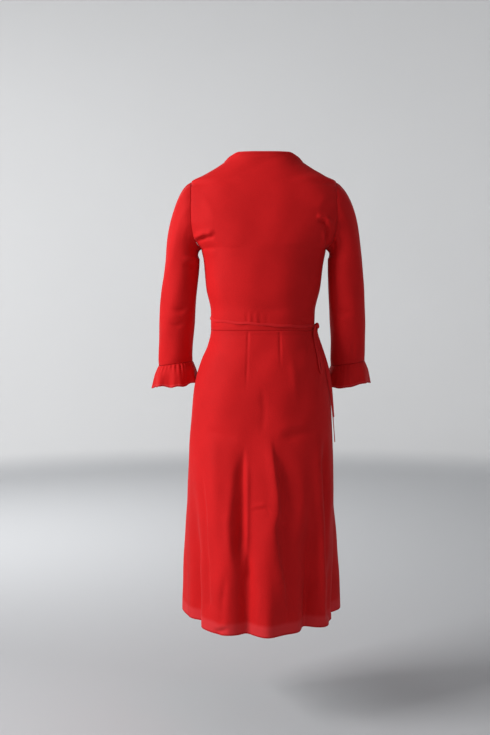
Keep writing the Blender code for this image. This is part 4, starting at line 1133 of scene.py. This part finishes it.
# ---------------------------------------------------------------- the tie and its bow
@dataclass
class TieAndBow:
    """The narrow tie round the waist, the knot, its two loops and its two free ends."""

    form: WornForm
    half_width: float = 0.0033
    half_wall: float = 0.0008
    levels: tuple = (
        (0.0, -0.3680), (36.0, -0.3760), (75.0, -0.3805),
        (110.0, -0.3845), (140.0, -0.3870), (226.0, -0.3860),
    )
    knot_place: Point = (-0.1271, 0.0241, -0.3866)
    knot_size: Point = (0.0055, 0.0065, 0.0075)
    routes: dict = field(default_factory=lambda: {
        "bow_loop_back": (
            (-0.1234, 0.0322, -0.3850), (-0.1217, 0.0368, -0.3900), (-0.1191, 0.0411, -0.4050),
            (-0.1223, 0.0486, -0.4300), (-0.1282, 0.0574, -0.4600), (-0.1314, 0.0640, -0.4860),
            (-0.1351, 0.0630, -0.4945), (-0.1366, 0.0572, -0.4860), (-0.1332, 0.0503, -0.4600),
            (-0.1265, 0.0412, -0.4300), (-0.1225, 0.0337, -0.4060), (-0.1223, 0.0299, -0.3930),
        ),
        "bow_loop_front": (
            (-0.1278, 0.0166, -0.3862), (-0.1284, 0.0095, -0.3900), (-0.1284, 0.0000, -0.4050),
            (-0.1354, -0.0143, -0.4300), (-0.1426, -0.0294, -0.4560), (-0.1455, -0.0412, -0.4760),
            (-0.1419, -0.0487, -0.4740), (-0.1379, -0.0417, -0.4540), (-0.1336, -0.0250, -0.4280),
            (-0.1288, -0.0078, -0.4050), (-0.1266, 0.0066, -0.3930),
        ),
        "tie_end_back": (
            (-0.1232, 0.0235, -0.3962), (-0.1277, 0.0260, -0.4150), (-0.1364, 0.0308, -0.4450),
            (-0.1479, 0.0356, -0.4850), (-0.1571, 0.0355, -0.5300), (-0.1623, 0.0312, -0.5700),
            (-0.1666, 0.0247, -0.6140), (-0.1690, 0.0202, -0.6400), (-0.1712, 0.0174, -0.6650),
        ),
        "tie_end_front": (
            (-0.1246, 0.0162, -0.3945), (-0.1298, 0.0151, -0.4150), (-0.1401, 0.0143, -0.4450),
            (-0.1528, 0.0150, -0.4850), (-0.1618, 0.0136, -0.5300), (-0.1666, 0.0099, -0.5700),
            (-0.1696, 0.0071, -0.6060),
        ),
    })
    # name, length, far end
    cords: tuple = (
        ("bow_loop_back", 0.227, "object"), ("bow_loop_front", 0.221, "object"),
        ("tie_end_back", 0.276, "bare"), ("tie_end_front", 0.218, "bare"),
    )

    def build(self) -> None:
        """Make the free pieces first, then the knot and the tie round the waist."""
        for name, length, far_end in self.cords:
            self.free_piece(name)
        self.knot()
        self.round_the_waist("waist_tie_back", 0.6, 168.2, 96, 0.0)
        self.round_the_waist("waist_tie_front", 170.4, 220.4, 40, self.form.wrap_lift)

    def free_piece(self, name: str) -> None:
        """Make a loop or a free end as a flat strip that turns with its route."""
        line = through(self.routes[name], 0.004)
        along = np.gradient(line, axis=0)
        along /= np.linalg.norm(along, axis=1, keepdims=True)
        out = np.empty_like(line)
        way = np.array([-0.92, 0.38, 0.0])
        for index, step in enumerate(along):
            way = way - step * float(way @ step)
            way /= np.linalg.norm(way)
            out[index] = way
        run = walked(line[None], 1)[0]
        turn = 0.5 * np.sin(run * 21.0 + len(name)) + (0.35 if "end" in name else 0.0)
        side = np.cross(along, out)
        out = out * np.cos(turn)[:, None] + side * np.sin(turn)[:, None]
        piece = Strip(f"{name}_cloth", name, line, out, self.half_width, self.half_wall, TRIM).build()

    def knot(self) -> None:
        """Shape the knot from a ball: pinched where the strips pass round it and ridged along them."""
        bpy.ops.object.select_all(action="DESELECT")
        bpy.ops.mesh.primitive_uv_sphere_add(segments=40, ring_count=24, radius=1.0, location=self.knot_place)
        piece = bpy.context.object
        piece.name = "bow_knot_cloth"
        piece.scale = self.knot_size
        bpy.ops.object.transform_apply(location=True, rotation=True, scale=True)
        centre = Vector(self.knot_place)
        for vertex in piece.data.vertices:
            away = vertex.co - centre
            turn = math.atan2(away.z, away.y)
            ridge = math.cos(3.0 * turn + 260.0 * away.x) * 0.07 + math.cos(7.0 * turn) * 0.02
            pinch = -0.16 * math.exp(-((away.z - 0.5 * away.y) / 0.0016) ** 2)
            vertex.co = centre + away * (0.97 + ridge + pinch)
        for name in ("from_hem", "from_seam"):
            layer = piece.data.attributes.new(name, "FLOAT", "POINT")
            layer.data.foreach_set("value", np.ones(len(piece.data.vertices), np.float32))
        bpy.ops.object.shade_smooth()
        TRIM.dress(piece, piece.name)
        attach(piece, "root")
        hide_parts("bow_knot")
        LOG.info("%s: wrapped", piece.name)

    def round_the_waist(self, name: str, first: float, last: float, count: int, lift: float) -> None:
        """Lay the tie round the waist between two bearings, climbing onto the over front."""
        bearing = np.linspace(first, last, count)
        height = read_smoothly(self.levels, 1, bearing) + 0.0008 * np.sin(bearing * 0.21)
        out = 0.0011 + lift * eased((bearing - 197.0) / 18.0) + (0.0006 if lift else 0.0)
        line = self.form.below(bearing, height, out)
        away = line * np.array([1.0, 1.9, 0.0])
        away /= np.linalg.norm(away, axis=1, keepdims=True)
        away[:, 2] = 0.25 * np.sin(bearing * 0.13)
        Strip(f"{name}_cloth", name, line, away, self.half_width, self.half_wall, TRIM).build()


# ---------------------------------------------------------------- the room
@dataclass
class Studio:
    """A plain pale room with a coved edge, soft lamps, and the camera behind the dress."""

    floor_height: float = -1.340
    floor_radius: float = 3.6
    cove: float = 1.0
    wall_top: float = 2.6
    camera_place: Point = (0.0443, 2.45, -0.3303)
    camera_down: float = 3.67
    lens: float = 50.0

    def build(self) -> None:
        """Make the room, the lamps and the camera."""
        self.camera()
        self.room()
        self.lamp("key", (2.60, 1.15, 0.75), (0.0, 0.0, -0.50), 1.3, 98.0)
        self.lamp("fill", (-1.20, 3.00, 0.40), (0.0, 0.0, -0.60), 1.8, 2.5)
        self.lamp("front_fill", (1.2, -2.60, 0.60), (0.0, 0.0, -0.50), 1.8, 10.0)
        self.lamp("wall_wash", (1.60, -1.20, 0.60), (0.80, -3.60, 0.00), 1.4, 48.0)
        world = bpy.data.worlds.new("room_light")
        world.use_nodes = True
        shown = world.node_tree.nodes["Background"]
        shown.inputs["Color"].default_value = (0.97, 0.98, 1.0, 1.0)
        shown.inputs["Strength"].default_value = 0.22
        bpy.context.scene.world = world
        bpy.context.scene.view_settings.view_transform = "Standard"

    def camera(self) -> None:
        """Put the camera at the height of the waist, looking a little down."""
        data = bpy.data.cameras.new("camera")
        data.lens = self.lens
        data.sensor_width = 36.0
        data.sensor_fit = "AUTO"
        camera = bpy.data.objects.new("camera", data)
        camera.location = self.camera_place
        camera.rotation_euler = (math.radians(90.0 - self.camera_down), 0.0, math.radians(180.0))
        bpy.context.collection.objects.link(camera)
        bpy.context.scene.camera = camera

    def room(self) -> None:
        """Draw the floor as a disc and pull its rim out and up into a coved wall."""
        bpy.ops.object.select_all(action="DESELECT")
        bpy.ops.mesh.primitive_circle_add(
            vertices=96, radius=self.floor_radius, fill_type="NGON", location=(0.0, 0.0, self.floor_height),
        )
        room = bpy.context.object
        room.name = "room"
        bpy.ops.object.mode_set(mode="EDIT")
        bpy.ops.mesh.select_mode(type="EDGE")
        bpy.ops.mesh.select_all(action="SELECT")
        bpy.ops.mesh.region_to_loop()
        reach, height = self.floor_radius, self.floor_height
        steps = [math.radians(angle) for angle in range(10, 100, 10)]
        rim = [
            (self.floor_radius + self.cove * math.sin(a), self.floor_height + self.cove * (1 - math.cos(a)))
            for a in steps
        ]
        for new_reach, new_height in (*rim, (self.floor_radius + self.cove, self.wall_top)):
            climb = {"value": (0.0, 0.0, new_height - height)}
            bpy.ops.mesh.extrude_region_move(TRANSFORM_OT_translate=climb)
            scale = new_reach / reach
            bpy.ops.transform.resize(value=(scale, scale, 1.0), center_override=(0.0, 0.0, new_height))
            reach, height = new_reach, new_height
        bpy.ops.mesh.select_all(action="SELECT")
        bpy.ops.mesh.normals_make_consistent(inside=True)
        bpy.ops.object.mode_set(mode="OBJECT")
        bpy.ops.object.transform_apply(location=True, rotation=True, scale=True)
        bpy.ops.object.shade_smooth()
        nodes = Nodes("pale_wall")
        place = nodes.add("ShaderNodeTexCoord").outputs["Object"]
        colour = nodes.mixed(nodes.grain(0.9, 2.0, place), (0.790, 0.795, 0.800), (0.760, 0.765, 0.770))
        parts = nodes.add("ShaderNodeSeparateXYZ")
        nodes.join(place, parts.inputs["Vector"])
        floor_ends = self.floor_height + 0.1 * self.cove
        low = nodes.ranged(parts.outputs["Z"], self.floor_height, floor_ends, 1.0, 0.0)
        colour = nodes.mixed(low, colour, (0.560, 0.570, 0.585))
        nodes.join(colour, nodes.shader.inputs["Base Color"])
        nodes.shader.inputs["Roughness"].default_value = 0.9
        room.data.materials.append(nodes.material)

    def lamp(self, name: str, place: Point, aim: Point, size: float, power: float) -> None:
        """Hang one soft square lamp that looks at a point."""
        data = bpy.data.lights.new(name, "AREA")
        data.shape = "SQUARE"
        data.size = size
        data.energy = power
        lamp = bpy.data.objects.new(name, data)
        lamp.visible_camera = False
        lamp.location = place
        lamp.rotation_euler = (Vector(aim) - Vector(place)).to_track_quat("-Z", "Y").to_euler()
        bpy.context.collection.objects.link(lamp)


def main() -> None:
    """Dress the frame."""
    logging.basicConfig(level=logging.INFO, format="%(message)s")
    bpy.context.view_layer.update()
    form = WornForm()
    Studio().build()
    TieAndBow(form).build()
    for side in Side:
        Sleeve(form, side).build()
    Bodice(form).build()
    Skirt(form).build()


if __name__ == "__main__":
    main()
